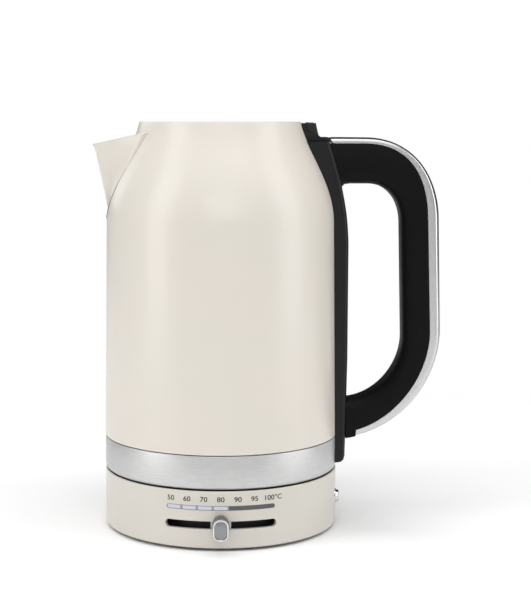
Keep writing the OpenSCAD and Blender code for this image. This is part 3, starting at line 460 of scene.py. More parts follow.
# ---------------------------------------------------------------- The handle's bracket
# A black moulded bracket down the side of the body, following its outline, with a rounded outer edge.
# It is screwed to the body from inside, and its outer face holds the clear water window in a raised rim.
grain, given, made = effect("moulded_grain",
                            [("Place", VECTOR), ("Size", FLOAT), ("Tone", COLOR), ("Rough", FLOAT)],
                            [("Color", COLOR), ("Rough", FLOAT), ("Height", FLOAT)])
pit = add(grain, "ShaderNodeTexVoronoi", {"Vector": given.outputs["Place"], "Scale": given.outputs["Size"]})
smudge = add(grain, "ShaderNodeTexNoise", {"Vector": given.outputs["Place"], "Scale": 22.0, "Detail": 4.0})
wiped = add(grain, "ShaderNodeMapRange", {"Value": smudge.outputs["Fac"], "From Min": 0.3, "From Max": 0.7,
                                          "To Min": 0.88, "To Max": 1.14})
shade = add(grain, "ShaderNodeVectorMath", {0: given.outputs["Tone"], 1: wiped.outputs["Result"]},
            operation="MULTIPLY")
dull = add(grain, "ShaderNodeMath", {0: smudge.outputs["Fac"], 1: 0.1, 2: given.outputs["Rough"]},
           operation="MULTIPLY_ADD")
grain.links.new(shade.outputs[0], made.inputs["Color"])
grain.links.new(dull.outputs[0], made.inputs["Rough"])
grain.links.new(pit.outputs["Distance"], made.inputs["Height"])


def moulded(name, tone, rough, size=1500.0, specular=0.4, depth=0.00002):
    """Moulded plastic or rubber with a fine spark-eroded grain and faint handling marks."""
    mat, tree, bsdf = shader(name)
    skin = add(tree, "ShaderNodeGroup", node_tree=grain)
    tree.links.new(place(tree), skin.inputs["Place"])
    skin.inputs["Size"].default_value = size
    skin.inputs["Tone"].default_value = (*tone, 1)
    skin.inputs["Rough"].default_value = rough
    tree.links.new(skin.outputs["Color"], bsdf.inputs["Base Color"])
    tree.links.new(skin.outputs["Rough"], bsdf.inputs["Roughness"])
    bsdf.inputs["Specular IOR Level"].default_value = specular
    bump(tree, bsdf, skin.outputs["Height"], depth, 0.3)
    return mat


bracket_black = moulded("bracket_black", (0.006, 0.006, 0.0063), 0.36, 1900.0, 0.26)
SPINE_FOOT = box("spine")[0].z
HALF_SPINE = box("spine")[1].y
SPINE_X = 84.6
WINDOW_Z = window_low.z - 0.1
edge_line = [(SPINE_X - 5.2, SPINE_FOOT), (SPINE_X - 3.2, SPINE_FOOT + 0.35),
             (SPINE_X - 1.9, SPINE_FOOT + 1.6),
             (SPINE_X - 1.3, SPINE_FOOT + 4.2), (SPINE_X - 0.6, WINDOW_Z - 21), (SPINE_X, WINDOW_Z + 10)]
edge_line += bezier((SPINE_X, RIM_Z - 80), (SPINE_X - 0.6, RIM_Z - 62), (SPINE_X - 2.6, RIM_Z - 53),
                    (SPINE_X - 4.6, RIM_Z - 43.3), 14)
edge_line += bezier((SPINE_X - 5.1, RIM_Z - 40), (SPINE_X - 7.2, RIM_Z - 32), (MOUTH_R + 19.8, RIM_Z - 20.5),
                    (MOUTH_R + 17.3, block_low.z), 8)


def spine_ring(outer, z):
    """A level section: the body's curve inside, flat sides, and rounded outer edges."""
    body = (BODY_R if z < shell_low.z else skin_at(z)) + 0.06
    root = math.sqrt(body**2 - HALF_SPINE**2)
    depth = min(3.4, (outer - root) * 0.55)
    front = [(root, -HALF_SPINE)] + bezier((outer - depth, -HALF_SPINE), (outer - depth * 0.3, -HALF_SPINE),
                                           (outer, 1.6 - HALF_SPINE), (outer, 4.2 - HALF_SPINE), 7)
    inner = [(math.sqrt(body**2 - y * y), y) for y in (HALF_SPINE * k / 5 for k in (4, 2, 0, -2, -4))]
    return [(x, y, z) for x, y in front + [(x, -y) for x, y in front[::-1]] + inner]


spine = piece("spine_moulding", loft([spine_ring(x, z) for x, z in edge_line]), bracket_black, "jug",
              30)
carve(spine, block(Vector((BODY_R - 20, window_low.y, window_low.z)) - GAP,
                   Vector((BODY_R + 20, window_high.y, window_high.z)) + GAP))
smooth(spine, 30)
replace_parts(spine, "spine")


def hoop(rings):
    """A closed band through rings of points, the last joined to the first."""
    verts, faces = loft(rings + rings[:1])
    return verts, faces[:-2]


def window_loop(grow, proud):
    """A rounded outline round the water window, standing proud of the bracket's outer edge."""
    half, r, steps = window_high.y + grow, 1.6 + grow, 24
    low, high = window_low.z - grow + r, window_high.z + grow - r
    turn = [(r * math.cos(math.radians(15 * k)), r * math.sin(math.radians(15 * k))) for k in range(7)]
    right = [(half - r + y, high + z) for y, z in turn]
    left = [(r - half - y, high + z) for y, z in turn[::-1]]
    down = [(-half, high + (low - high) * k / steps) for k in range(1, steps)]
    under = [(r - half - y, low - z) for y, z in turn] + [(half - r + y, low - z) for y, z in turn[::-1]]
    up = [(half, low + (high - low) * k / steps) for k in range(1, steps)]
    rise = [(z, x) for x, z in edge_line]
    return [(table(rise, z) + proud, y, z) for y, z in right + left + down + under + up]


piece("window_rim", hoop([window_loop(g, x) for g, x in
                          ((1.5, -4), (1.5, 0.0), (1.2, 0.45), (0.4, 0.5), (0.15, 0.3), (0.15, -4))]),
      bracket_black, "jug", 40)

# ---------------------------------------------------------------- The handle's grip
# A D-shaped bar moulded in soft-touch black over a stiff core, rounded towards the fingers.
# Both ends run into the bracket with a small fillet, and the outer side carries the metal strip.
grip_black = moulded("grip_black", (0.002, 0.002, 0.0021), 0.42, 2400.0, 0.12, 0.000015)
HALF_GRIP = box("handle_grip")[1].y
HANDLE_X = box("handle_strip")[1].x
GRIP_X = HANDLE_X - 8.2
LOOP_X = GRIP_X - 17.6
ARM_TOP = RIM_Z - 10
FOOT_Z = JUG_Z + 20.7
STRIP_TOP_T = 4.2
CURVE = 26
grip_top = bezier((BODY_R + 16, ARM_TOP - STRIP_TOP_T), (BODY_R + 42, ARM_TOP - STRIP_TOP_T + 0.2),
                  (GRIP_X - 3.9, ARM_TOP - 20), (GRIP_X - 2.4, ARM_TOP - 51), CURVE)
grip_low = bezier((GRIP_X + 0.2, FOOT_Z + 71.3), (GRIP_X + 0.2, FOOT_Z + 41.3),
                  (GRIP_X - 21.9, FOOT_Z + 12.3),
                  (BODY_R + 12.8, FOOT_Z + 5), CURVE)
loop_top = bezier((BODY_R + 19, ARM_TOP - 30.6), (BODY_R + 32, ARM_TOP - 30.6), (LOOP_X - 2.3, ARM_TOP - 41),
                  (LOOP_X - 2, ARM_TOP - 57), CURVE)
loop_low = bezier((LOOP_X, FOOT_Z + 67.3), (LOOP_X, FOOT_Z + 46.3), (LOOP_X - 16.3, FOOT_Z + 27.3),
                  (BODY_R + 8, FOOT_Z + 24.9), CURVE)
root_top = [((SPINE_X - 4.9, ARM_TOP - 35), (MOUTH_R + 17, ARM_TOP - STRIP_TOP_T)),
            ((SPINE_X - 4.2, ARM_TOP - 32.6), (MOUTH_R + 19, ARM_TOP - STRIP_TOP_T)),
            ((SPINE_X - 2.6, ARM_TOP - 31.1), (MOUTH_R + 22, ARM_TOP - STRIP_TOP_T)),
            ((SPINE_X + 0.6, ARM_TOP - 30.6), (MOUTH_R + 27, ARM_TOP - STRIP_TOP_T))]
root_low = [((BODY_R + 7.4, FOOT_Z + 25.1), (BODY_R + 12.5, FOOT_Z + 0.5)),
            ((BODY_R + 6.6, FOOT_Z + 25.9), (BODY_R + 9.5, FOOT_Z - 0.3)),
            ((BODY_R + 5.9, FOOT_Z + 28.0), (BODY_R + 5.9, FOOT_Z - 0.9))]


def bar_ring(inner, outer, section):
    """A section of the handle between a point on its inside and one on its outside."""
    start = Vector((inner[0], 0, inner[1]))
    out = Vector((outer[0], 0, outer[1])) - start
    return [start + out.normalized() * s + Vector((0, y, 0)) for s, y in section(out.length)]


def grip_section(t):
    arc = [(7.5 * (1 - math.cos(a)), HALF_GRIP - 7.5 * (1 - math.sin(a)))
           for a in (math.radians(15 * k) for k in range(7))]
    half = arc + [(t - 0.9, HALF_GRIP), (t - 0.25, HALF_GRIP - 0.25), (t, HALF_GRIP - 0.9)]
    return half + [(s, -y) for s, y in half[::-1]]


grip = piece("grip_moulding",
             loft([bar_ring(a, b, grip_section) for a, b in
                   root_top + list(zip(loop_top, grip_top)) + list(zip(loop_low, grip_low)) + root_low]),
             grip_black, "jug", 38)
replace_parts(grip, "handle_grip")

# ---------------------------------------------------------------- The handle's strip
# A curved length of aluminium over the outside of the grip, brushed along its length, with bright flat
# sides, polished edges and a crowned outer face whose colour is darkened as a painted dark reflection. Its
# ends are tucked against the bracket.
HALF_STRIP = box("handle_strip")[1].y


def round_handle(tree):
    """The angle about the middle of the loop, and the distance out plus the distance across."""
    at = add(tree, "ShaderNodeVectorMath", {0: place(tree), 1: (0.088, 0.0, 0.162)}, operation="SUBTRACT")
    flat = add(tree, "ShaderNodeVectorMath", {0: at.outputs[0], 1: (1.0, 0.0, 1.0)}, operation="MULTIPLY")
    reach = add(tree, "ShaderNodeVectorMath", {0: flat.outputs[0]}, operation="LENGTH")
    part = add(tree, "ShaderNodeSeparateXYZ", {0: at.outputs[0]})
    angle = add(tree, "ShaderNodeMath", {0: part.outputs["Z"], 1: part.outputs["X"]}, operation="ARCTAN2")
    across = add(tree, "ShaderNodeMath", {0: reach.outputs["Value"], 1: part.outputs["Y"]}, operation="ADD")
    return angle.outputs[0], across.outputs[0]


strip_metal = brushed("strip_metal", (0.62, 0.62, 0.625), 0.3, 0.05, round_handle)
tree = strip_metal.node_tree
bsdf = tree.nodes["Principled BSDF"]
# The crowned outer face's colour is cut to about a fifth of the metal's: a painted dark reflection, not a
# tint of the metal.
across = add(tree, "ShaderNodeSeparateXYZ", {0: place(tree)}).outputs["Y"]
apart = add(tree, "ShaderNodeMath", {0: across}, operation="ABSOLUTE")
painted_dark_reflection = add(tree, "ShaderNodeMapRange", {"Value": apart.outputs[0], "From Min": (HALF_STRIP - 2.6) * 0.001,
                                         "From Max": (HALF_STRIP - 1.2) * 0.001, "To Min": 0.22,
                                         "To Max": 1.0})
plain = bsdf.inputs["Base Color"].links[0].from_socket
deep = add(tree, "ShaderNodeVectorMath", {0: plain, 1: painted_dark_reflection.outputs["Result"]}, operation="MULTIPLY")
tree.links.new(deep.outputs[0], bsdf.inputs["Base Color"])
back_top = bezier((BODY_R + 19, ARM_TOP - 0.2), (BODY_R + 47, ARM_TOP - 0.7),
                  (HANDLE_X - 4.3, ARM_TOP - 21.5),
                  (HANDLE_X - 2.1, ARM_TOP - 51), CURVE)
back_low = bezier((HANDLE_X, FOOT_Z + 71.3), (HANDLE_X, FOOT_Z + 39.3), (HANDLE_X - 23.3, FOOT_Z + 6.8),
                  (BODY_R + 12.6, FOOT_Z), CURVE)
strip_start = [((MOUTH_R + 18.9, ARM_TOP - STRIP_TOP_T + 1.2), (MOUTH_R + 17.8, ARM_TOP - 0.7)),
               ((MOUTH_R + 19.5, ARM_TOP - STRIP_TOP_T + 0.3), (MOUTH_R + 18.4, ARM_TOP - 0.1)),
               ((MOUTH_R + 20.8, ARM_TOP - STRIP_TOP_T), (MOUTH_R + 20.2, ARM_TOP)),
               ((MOUTH_R + 24, ARM_TOP - STRIP_TOP_T), (MOUTH_R + 24, ARM_TOP))]


def strip_section(t):
    """A flat side about half as deep as the strip, a polished corner, and a crowned outer face."""
    side = 0.5 * t
    half = [(0.0, HALF_STRIP - 0.2), (0.15, HALF_STRIP), (side * 0.6, HALF_STRIP)]
    half += bezier((side, HALF_STRIP), (side + 0.12 * t, HALF_STRIP - 0.05),
                   (side + 0.2 * t, HALF_STRIP - 0.5),
                   (side + 0.27 * t, HALF_STRIP - 1.5), 5)
    half += bezier((side + 0.33 * t, HALF_STRIP - 2.8), (0.93 * t, HALF_STRIP - 5.5),
                   (t, HALF_STRIP * 0.4), (t, 0.0), 6)
    return half + [(s, -y) for s, y in half[-2::-1]]


strip = piece("strip_band",
              loft([bar_ring(a, b, strip_section) for a, b in
                    strip_start + list(zip(grip_top, back_top)) + list(zip(grip_low, back_low))]),
              strip_metal, "jug", 42)
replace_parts(strip, "handle_strip")

# ---------------------------------------------------------------- The base's housing
# A shallow drum moulded in the body's cream, gloss, with a fine lip round the top plate and a soft lower
# edge. Its front is pierced for the light bar and for the slot that the knob slides in.
house_low, house_high = box("base_housing")
PLATE_R = box("base_top_plate")[1].x + 0.1
WALL = 2.4
SLOT_H, SLOT_SWING = 5.2, 27.0
BAR_H, BAR_SWING = 3.0, 26.2
KNOB_Z = (box("knob_carriage")[0].z + box("knob_carriage")[1].z) / 2
BAR_Z = (box("light_bar")[0].z + box("light_bar")[1].z) / 2
base_cream = painted("base_cream", (0.60, 0.573, 0.520, 1), 0.3, 0.2)
outline = [(BODY_R - WALL, house_low.z)]
outline += bezier((BODY_R - 2.1, house_low.z), (BODY_R - 0.6, house_low.z), (BODY_R, house_low.z + 0.8),
                  (BODY_R, house_low.z + 2.6), 10)
outline += bezier((BODY_R, house_high.z - 1.1), (BODY_R, house_high.z - 0.4), (BODY_R - 0.3, house_high.z),
                  (BODY_R - 0.7, house_high.z), 6)
outline += [(PLATE_R + 0.1, house_high.z), (PLATE_R, house_high.z - 0.1), (PLATE_R, house_high.z - 2.4),
            (BODY_R - 4.4, house_high.z - 2.4), (BODY_R - 4.4, house_high.z - 4),
            (BODY_R - WALL, house_high.z - 6)]
housing = piece("housing_drum", turned(outline, 288), base_cream, "base")


def pill(half_length, half_height, z, radius, grow=0.0, steps=48):
    """A level pill outline wrapped round the front of the base at one radius."""
    h = half_height + grow
    reach = half_length - half_height
    end = [(reach + h * math.cos(a), h * math.sin(a)) for a in (math.radians(15 * k - 90) for k in range(13))]
    top = [(reach * (1 - 2 * k / steps), h) for k in range(1, steps)]
    flat = end + top + [(-x, -y) for x, y in end + top]
    return [(radius * math.sin(x / BODY_R), -radius * math.cos(x / BODY_R), z + y) for x, y in flat]


def quilt(ring_count, n):
    """Faces of a wrapped pill's two ends, in strips between its upper and lower edges."""
    faces = []
    for i in range(n // 2 - 1):
        quad = (i, i + 1, (n - i - 2) % n, (n - i - 1) % n)
        faces += [quad, tuple((ring_count - 1) * n + k for k in quad[::-1])]
    return faces


def wrapped(rings):
    """A solid through wrapped pills, its two ends following the curve of the base."""
    verts, faces = loft(rings)
    n = len(rings[0])
    shift = [verts[(k + 7) % n + i * n] for i in range(len(rings)) for k in range(n)]
    return shift, faces[:-2] + quilt(len(rings), n)


slot_half = math.radians(SLOT_SWING) * BODY_R
bar_half = math.radians(BAR_SWING) * BODY_R
carve(housing, wrapped([pill(slot_half, SLOT_H / 2, KNOB_Z, r) for r in (BODY_R - 6, BODY_R + 3)]))
carve(housing, wrapped([pill(bar_half, BAR_H / 2, BAR_Z, r) for r in (BODY_R - 6, BODY_R + 3)]))
key_low, key_high = box("power_button")
KEY_R, KEY_Z = (key_high.z - key_low.z) / 2, (key_high.z + key_low.z) / 2
at_key = (Matrix.Rotation(math.radians(-8), 4, "Z") @ Matrix.Translation((0, 0, KEY_Z))
          @ Matrix.Rotation(math.radians(90), 4, "Y"))
gland_low, gland_high = box("lead_gland")
at_gland = (Matrix.Translation((0, 0, (gland_low.z + gland_high.z) / 2))
            @ Matrix.Rotation(math.radians(-90), 4, "X"))
for matrix, radius in ((at_key, KEY_R + 1.0), (at_gland, 5.6)):
    hole = [(0, BODY_R - 8), (radius, BODY_R - 8), (radius, BODY_R + 8), (0, BODY_R + 8)]
    carve(housing, turned(hole, 64, matrix))
smooth(housing, 35)


def true_wall(obj):
    """Points the shading of an upright round wall straight out, so that cuts leave no trace in it."""
    mesh = obj.data
    normals = [tuple(n.vector) for n in mesh.corner_normals]
    for face in mesh.polygons:
        for loop in face.loop_indices:
            at = mesh.vertices[mesh.loops[loop].vertex_index].co
            out = Vector((at.x, at.y, 0)).normalized()
            if abs(out.dot(face.normal)) > 0.97:
                normals[loop] = tuple(out if out.dot(face.normal) > 0 else -out)
    mesh.normals_split_custom_set(normals)


true_wall(housing)
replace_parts(housing, "base_housing")

# ---------------------------------------------------------------- The base's top plate
# A matt black moulding set inside the lip, rising in a soft shoulder to a low platform round the
# connector. Three bosses under it take the screws of the bottom cover.
plate_black = moulded("plate_black", (0.021, 0.022, 0.024), 0.42, 1300.0, 0.42, 0.00003)
plate_z = house_high.z - 0.4
outline = [(17.5, plate_z + 2.4), (17.5, plate_z - 2), (PLATE_R - 0.1, plate_z - 2),
           (PLATE_R - 0.1, plate_z - 0.2),
           (PLATE_R - 0.3, plate_z)]
outline += bezier((45.5, plate_z), (41.5, plate_z), (39.0, plate_z + 0.9), (37.0, plate_z + 1.5), 8)
outline += bezier((36.5, plate_z + 1.62), (34.5, plate_z + 2.2), (32.0, plate_z + 2.4),
                  (29.0, plate_z + 2.4), 8)
plate = turned(outline, 192)
for turn in (30, 150, 270):
    a = math.radians(turn)
    post = [(1.6, house_low.z + 2.2), (4.0, house_low.z + 2.2), (4.0, plate_z - 1.9), (1.6, plate_z - 1.9)]
    boss = turned(post, 32, Matrix.Translation((52 * math.cos(a), 52 * math.sin(a), 0)))
    plate = (plate[0] + boss[0], plate[1] + [tuple(k + len(plate[0]) for k in face) for face in boss[1]])
top_plate = piece("top_plate", plate, plate_black, "base", 40)
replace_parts(top_plate, "base_top_plate")

# ---------------------------------------------------------------- The connector
# The round plug that the jug drops onto, so it can be set down facing any way: a skirt, a neck, and a
# wide flange whose top has two ring-shaped grooves and a centre hole over the contacts.
plug_black = moulded("plug_black", (0.008, 0.008, 0.0083), 0.3, 1800.0, 0.42)
plug_low, plug_high = box("connector_plug")
PLUG_R, PLUG_Z = plug_high.x, plug_high.z
NECK_R = PLUG_R - 3.6
GROOVE_Z = PLUG_Z - 9
outline = [(2.2, GROOVE_Z), (2.2, PLUG_Z - 0.3), (2.5, PLUG_Z)]
for r in (6.0, 12.0):
    outline += [(r - 1.5, PLUG_Z), (r - 1.2, PLUG_Z - 0.3), (r - 1.2, GROOVE_Z), (r + 1.2, GROOVE_Z),
                (r + 1.2, PLUG_Z - 0.3), (r + 1.5, PLUG_Z)]
outline += [(16.0, PLUG_Z), (16.4, PLUG_Z - 0.35), (17.0, PLUG_Z - 0.35), (17.3, PLUG_Z)]
outline += bezier((PLUG_R - 1.4, PLUG_Z), (PLUG_R - 0.5, PLUG_Z - 0.1), (PLUG_R, PLUG_Z - 0.6),
                  (PLUG_R, PLUG_Z - 1.4), 6)
outline += bezier((PLUG_R, PLUG_Z - 2.6), (PLUG_R, PLUG_Z - 3.2), (PLUG_R - 0.6, PLUG_Z - 4),
                  (PLUG_R - 1.7, PLUG_Z - 4), 5)
outline += [(NECK_R + 0.5, PLUG_Z - 4), (NECK_R, PLUG_Z - 4.5), (NECK_R, plate_z + 8.4),
            (NECK_R + 0.4, plate_z + 8.0),
            (NECK_R + 1.6, plate_z + 7.9), (NECK_R + 2.0, plate_z + 7.4), (NECK_R + 2.1, plate_z + 6.6),
            (NECK_R + 2.8, plate_z + 6.4), (NECK_R + 3.1, plate_z + 6.0), (NECK_R + 3.1, plate_z + 2.4),
            (NECK_R, plate_z + 2.4), (NECK_R, plug_low.z), (0, plug_low.z), (0, GROOVE_Z)]
plug = piece("plug_moulding", turned(outline, 160), plug_black, "base", 32)
notch = block((NECK_R - 2, -3.4, plate_z + 5), (NECK_R + 6, 3.4, PLUG_Z - 5))
carve(plug, ([Matrix.Rotation(math.radians(-125), 4, "Z") @ Vector(v) for v in notch[0]], notch[1]))
smooth(plug, 32)
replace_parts(plug, "connector_plug")

# ---------------------------------------------------------------- The light bar
# A smoked lens behind the scale, with a row of lamps: the four up to the set temperature are lit.
# A thin grey frame trims its edge.
lens, tree, bsdf = shader("lens_smoked")
angle, height = round_jug(tree)
deg = add(tree, "ShaderNodeMath", {0: angle, 1: 180 / math.pi, 2: 90 + BAR_SWING}, operation="MULTIPLY_ADD")
cell = add(tree, "ShaderNodeMath", {0: deg.outputs[0], 1: 2 * BAR_SWING / 7.0}, operation="DIVIDE")
inside = add(tree, "ShaderNodeMath", {0: cell.outputs[0]}, operation="FRACT")
centred = add(tree, "ShaderNodeMath", {0: inside.outputs[0], 1: 0.5}, operation="SUBTRACT")
offset = add(tree, "ShaderNodeMath", {0: centred.outputs[0]}, operation="ABSOLUTE")
lamp = add(tree, "ShaderNodeMapRange", {"Value": offset.outputs[0], "From Min": 0.49, "From Max": 0.36,
                                        "To Min": 0.3, "To Max": 0.66}, interpolation_type="SMOOTHSTEP")
lit = add(tree, "ShaderNodeMapRange", {"Value": cell.outputs[0], "From Min": 4.05, "From Max": 3.95})
power = add(tree, "ShaderNodeMath", {0: lamp.outputs["Result"], 1: lit.outputs["Result"]},
            operation="MULTIPLY")
blue = add(tree, "ShaderNodeMix", {"Factor": lamp.outputs["Result"], "A": (0.5, 0.55, 0.75, 1),
                                   "B": (0.85, 0.88, 0.97, 1)}, data_type="RGBA")
tree.links.new(blue.outputs["Result"], bsdf.inputs["Emission Color"])
tree.links.new(power.outputs[0], bsdf.inputs["Emission Strength"])
dust = add(tree, "ShaderNodeTexNoise", {"Vector": place(tree), "Scale": 700.0})
tone = add(tree, "ShaderNodeMapRange", {"Value": dust.outputs["Fac"], "To Min": 0.07, "To Max": 0.10})
tree.links.new(tone.outputs["Result"], bsdf.inputs["Base Color"])
bsdf.inputs["Roughness"].default_value = 0.45
bar = piece("lamp_lens", wrapped([pill(bar_half - 0.35, BAR_H / 2 - 0.35, BAR_Z, r)
                                  for r in (BODY_R - WALL - 1, BODY_R - 0.1)]), lens, "base",
                                  50)
true_wall(bar)
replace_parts(bar, "light_bar")

bright, tree, bsdf = shader("bright_trim")
streak = add(tree, "ShaderNodeTexNoise", {"Vector": place(tree), "Scale": 260.0, "Detail": 3.0})
tone = add(tree, "ShaderNodeMapRange", {"Value": streak.outputs["Fac"], "To Min": 0.66, "To Max": 0.78})
dull = add(tree, "ShaderNodeMapRange", {"Value": streak.outputs["Fac"], "To Min": 0.10, "To Max": 0.2})
tree.links.new(tone.outputs["Result"], bsdf.inputs["Base Color"])
tree.links.new(dull.outputs["Result"], bsdf.inputs["Roughness"])
bsdf.inputs["Metallic"].default_value = 1.0


frame_rings = [pill(bar_half, BAR_H / 2, BAR_Z, r, grow) for r, grow in
               ((BODY_R - 1, -0.04), (BODY_R + 0.02, -0.04), (BODY_R + 0.08, -0.12),
                (BODY_R + 0.05, -0.3), (BODY_R - 1, -0.34))]
piece("lamp_frame", hoop(frame_rings), moulded("trim_grey", (0.13, 0.13, 0.14), 0.25), "base",
      50)

# ---------------------------------------------------------------- The scale
# Temperatures printed in dark grey over the light bar, from fifty to a hundred degrees.
ink, tree, bsdf = shader("printed_ink")
worn = add(tree, "ShaderNodeTexNoise", {"Vector": place(tree), "Scale": 1500.0, "Detail": 3.0})
tone = add(tree, "ShaderNodeMapRange", {"Value": worn.outputs["Fac"], "To Min": 0.008, "To Max": 0.02})
tree.links.new(tone.outputs["Result"], bsdf.inputs["Base Color"])
bsdf.inputs["Roughness"].default_value = 0.55
SCALE_Z = BAR_Z + 4.05
for i, label in enumerate(("50", "60", "70", "80", "90", "95", "100°C")):
    words = bpy.data.curves.new("label", "FONT")
    words.body = label
    words.align_x = "CENTER"
    words.size = 4.5
    words.space_character = 1.0
    words.offset = 0.06
    written = bpy.data.objects.new("label", words)
    scene.collection.objects.link(written)
    mesh = bpy.data.meshes.new_from_object(written.evaluated_get(bpy.context.evaluated_depsgraph_get()))
    middle = math.radians(8.0 * (i - 3)) * BODY_R + (1.6 if i == 6 else 0.0)
    verts = [((BODY_R + 0.05) * math.sin((1.1 * v.co.x + middle) / BODY_R),
              -(BODY_R + 0.05) * math.cos((1.1 * v.co.x + middle) / BODY_R),
              SCALE_Z + v.co.y) for v in mesh.vertices]
    piece(f"scale_{label[:-2] if i == 6 else label}", (verts, [tuple(f.vertices) for f in mesh.polygons]),
          ink, "base")
    bpy.data.objects.remove(written)

# ---------------------------------------------------------------- The temperature knob
# A pill-shaped grey knob standing well out of its slot, with a bright rim and a satin face let into it.
knob_grey = moulded("knob_grey", (0.075, 0.077, 0.08), 0.3, 2000.0, 0.5)
face_grey = brushed("face_grey", (0.30, 0.30, 0.305), 0.34, 0.04,
                    lambda tree: (add(tree, "ShaderNodeSeparateXYZ", {0: place(tree)}).outputs["X"],
                                  add(tree, "ShaderNodeSeparateXYZ", {0: place(tree)}).outputs["Z"]))
KNOB_W, KNOB_H = 10.4, 14.4
KNOB_BACK, KNOB_FRONT = BODY_R + 0.6, -box("temperature_knob")[0].y
CENTRE_Z = (box("temperature_knob")[0].z + box("temperature_knob")[1].z) / 2


def stadium(shrink, out):
    """An upright pill outline at one distance out from the base's axis."""
    r, rise = KNOB_W / 2 - shrink, (KNOB_H - KNOB_W) / 2
    ends = [(r * math.cos(a), r * math.sin(a) + rise) for a in (math.radians(7.5 * k) for k in range(25))]
    return [(x, -out, CENTRE_Z + z) for x, z in ends + [(-x, -z) for x, z in ends]]


knob = piece("knob_body", loft([stadium(s, y) for s, y in
                                ((0.5, KNOB_BACK), (0.1, KNOB_BACK + 0.5), (0, KNOB_BACK + 1.2),
                                 (0, KNOB_FRONT - 2.2),
                                 (0.12, KNOB_FRONT - 1.6), (1.0, KNOB_FRONT - 1.4))]), knob_grey,
             "temperature_slider", 40)
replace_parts(knob, "temperature_knob")
piece("knob_rim", hoop([stadium(s, y) for s, y in
                        ((0.12, KNOB_FRONT - 1.6), (0.12, KNOB_FRONT - 0.9), (0.3, KNOB_FRONT - 0.5),
                         (0.75, KNOB_FRONT - 0.4),
                         (1.15, KNOB_FRONT - 0.6), (1.2, KNOB_FRONT - 1.6))]), bright,
                         "temperature_slider", 50)
face = piece("knob_inlay", loft([stadium(s, y) for s, y in
                                 ((1.3, KNOB_FRONT - 1.5), (1.3, KNOB_FRONT - 1.0),
                                  (1.6, KNOB_FRONT - 0.85))]),
             face_grey, "temperature_slider", 40)
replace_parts(face, "knob_face")

# ---------------------------------------------------------------- The power button
# A chromed push button with a dished end, on the right of the base's front, in a fine bright bezel.
out = BODY_R + 2.4
outline = [(0, BODY_R - 5.8), (KEY_R, BODY_R - 5.8)]
outline += bezier((KEY_R, out - 1), (KEY_R, out - 0.3), (KEY_R - 0.4, out), (KEY_R - 1, out), 6)
outline += [(KEY_R - 1.4, out - 0.25), (0, out - 0.4)]
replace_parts(piece("button_cap", turned(outline, 64, at_key), bright, "power_key", 40),
            "power_button")
outline = [(KEY_R + 0.15, BODY_R - 6), (KEY_R + 2.4, BODY_R - 6), (KEY_R + 2.4, BODY_R - 3.4),
           (KEY_R + 0.9, BODY_R - 3.4),
           (KEY_R + 0.9, BODY_R + 0.2), (KEY_R + 0.75, BODY_R + 0.45), (KEY_R + 0.45, BODY_R + 0.5),
           (KEY_R + 0.15, BODY_R + 0.2)]
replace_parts(piece("button_bezel", turned(outline, 64, at_key), bright, "base", 40), "power_bezel")

# ---------------------------------------------------------------- The lid's cover
# A slightly domed disc in the body's enamel that sits just below the rim, cut straight at the back
# where the hinge is. It clips over a black frame.
lid_low, lid_high = box("lid_cover")
LID_R = lid_high.y
outline = [(0, lid_low.z), (LID_R, lid_low.z)]
outline += bezier((LID_R, lid_high.z - 1.2), (LID_R, lid_high.z - 0.7), (LID_R - 0.3, lid_high.z - 0.4),
                  (LID_R - 0.9, lid_high.z - 0.36), 5)
outline += [((LID_R - 0.9) * k / 8, lid_high.z - 0.36 * (k / 8) ** 2) for k in range(7, -1, -1)]
cover = piece("lid_disc", turned(outline, 192), enamel, "lid", 40)
carve(cover, block((lid_high.x, -BODY_R, lid_low.z - 5), (BODY_R, BODY_R, lid_high.z + 5)))
smooth(cover, 40)
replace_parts(cover, "lid_cover")

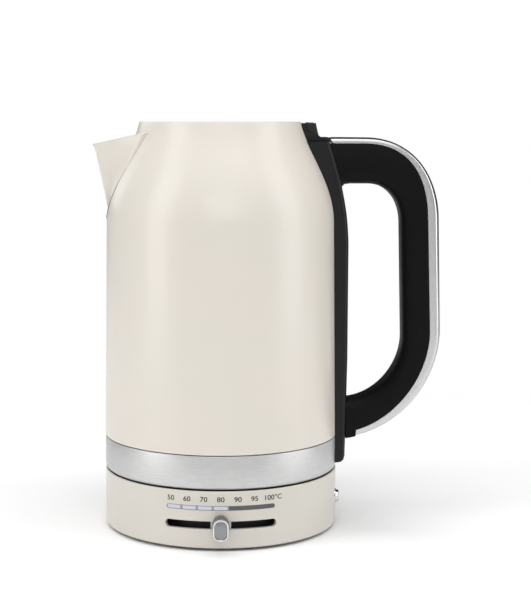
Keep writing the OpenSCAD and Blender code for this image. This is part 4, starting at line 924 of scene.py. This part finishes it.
# ---------------------------------------------------------------- The pieces kept as they are
# Contacts, boards, screws, springs, seals and linings, each given its material and softened edges.
FINISHES = {
    "cream_plastic": base_cream,
    "black_plastic": moulded("black_plastic", (0.018, 0.018, 0.0185), 0.42, 1600.0, 0.4),
    "spine_plastic": bracket_black, "grip_rubber": grip_black,
    "brass": brushed("brass", (0.72, 0.5, 0.2), 0.24, 0.05, round_jug),
    "copper_contact": brushed("copper_contact", (0.86, 0.42, 0.25), 0.2, 0.06, round_jug),
    "grey_plastic": moulded("grey_plastic", (0.2, 0.2, 0.205), 0.45), "polished_steel": bright,
    "rubber": moulded("rubber", (0.02, 0.02, 0.02), 0.75, 900.0, 0.25),
    "screw_steel": brushed("screw_steel", (0.52, 0.52, 0.53), 0.3, 0.06, round_jug),
    "board_green": moulded("board_green", (0.02, 0.13, 0.045), 0.35, 1200.0),
    "component_blue": moulded("component_blue", (0.03, 0.07, 0.25), 0.35),
    "component_dark": moulded("component_dark", (0.03, 0.028, 0.03), 0.35), "light_lens": lens,
    "chrome": bright,
    "white_plastic": moulded("white_plastic", (0.7, 0.7, 0.68), 0.4),
    "lead_cover": moulded("lead_cover", (0.09, 0.06, 0.04), 0.5, 1600.0), "satin_knob": face_grey,
    "body_enamel": enamel, "brushed_steel": ring_steel,
    "vessel_steel": brushed("vessel_steel", (0.6, 0.6, 0.6), 0.25, 0.06, round_jug, 0.5),
    "aluminium": brushed("aluminium", (0.66, 0.66, 0.67), 0.4, 0.05, round_jug),
    "element_steel": brushed("element_steel", (0.34, 0.33, 0.31), 0.45, 0.08, round_jug),
    "strip_aluminium": strip_metal, "seal_silicone": moulded("seal_silicone", (0.5, 0.5, 0.49), 0.55, 1400.0),
}
glass, tree, bsdf = shader("clear_plastic")
haze = add(tree, "ShaderNodeTexNoise", {"Vector": place(tree), "Scale": 60.0, "Detail": 4.0})
dull = add(tree, "ShaderNodeMapRange", {"Value": haze.outputs["Fac"], "To Min": 0.05, "To Max": 0.16})
tree.links.new(dull.outputs["Result"], bsdf.inputs["Roughness"])
bsdf.inputs["Base Color"].default_value = (0.78, 0.82, 0.84, 1)
bsdf.inputs["Transmission Weight"].default_value = 0.85
bsdf.inputs["IOR"].default_value = 1.49
FINISHES["clear_plastic"] = glass
REPLACED = ("outer_shell", "steel_ring", "spout", "spine", "handle_grip", "handle_strip", "base_housing",
            "base_top_plate", "connector_plug", "light_bar", "temperature_knob", "knob_face", "power_button",
            "power_bezel", "lid_cover")
slots = {part["node"]: part["material_slot"] for part in frame["record"]["subparts"]}
for name, node in frame["nodes"].items():
    if name in REPLACED:
        continue
    node.data.materials.clear()
    node.data.materials.append(FINISHES[slots[name]])
    for face in node.data.polygons:
        face.use_smooth = True
    weld = node.modifiers.new("weld", "WELD")
    weld.merge_threshold = 1e-6
    flat = node.modifiers.new("flat", "DECIMATE")
    flat.decimate_type = "DISSOLVE"
    flat.angle_limit = math.radians(0.5)
    soft = node.modifiers.new("soft", "BEVEL")
    soft.width = 0.0002
    soft.segments = 2
    soft.limit_method = "ANGLE"
    soft.angle_limit = math.radians(40)
    soft.harden_normals = True
    soft.use_clamp_overlap = True
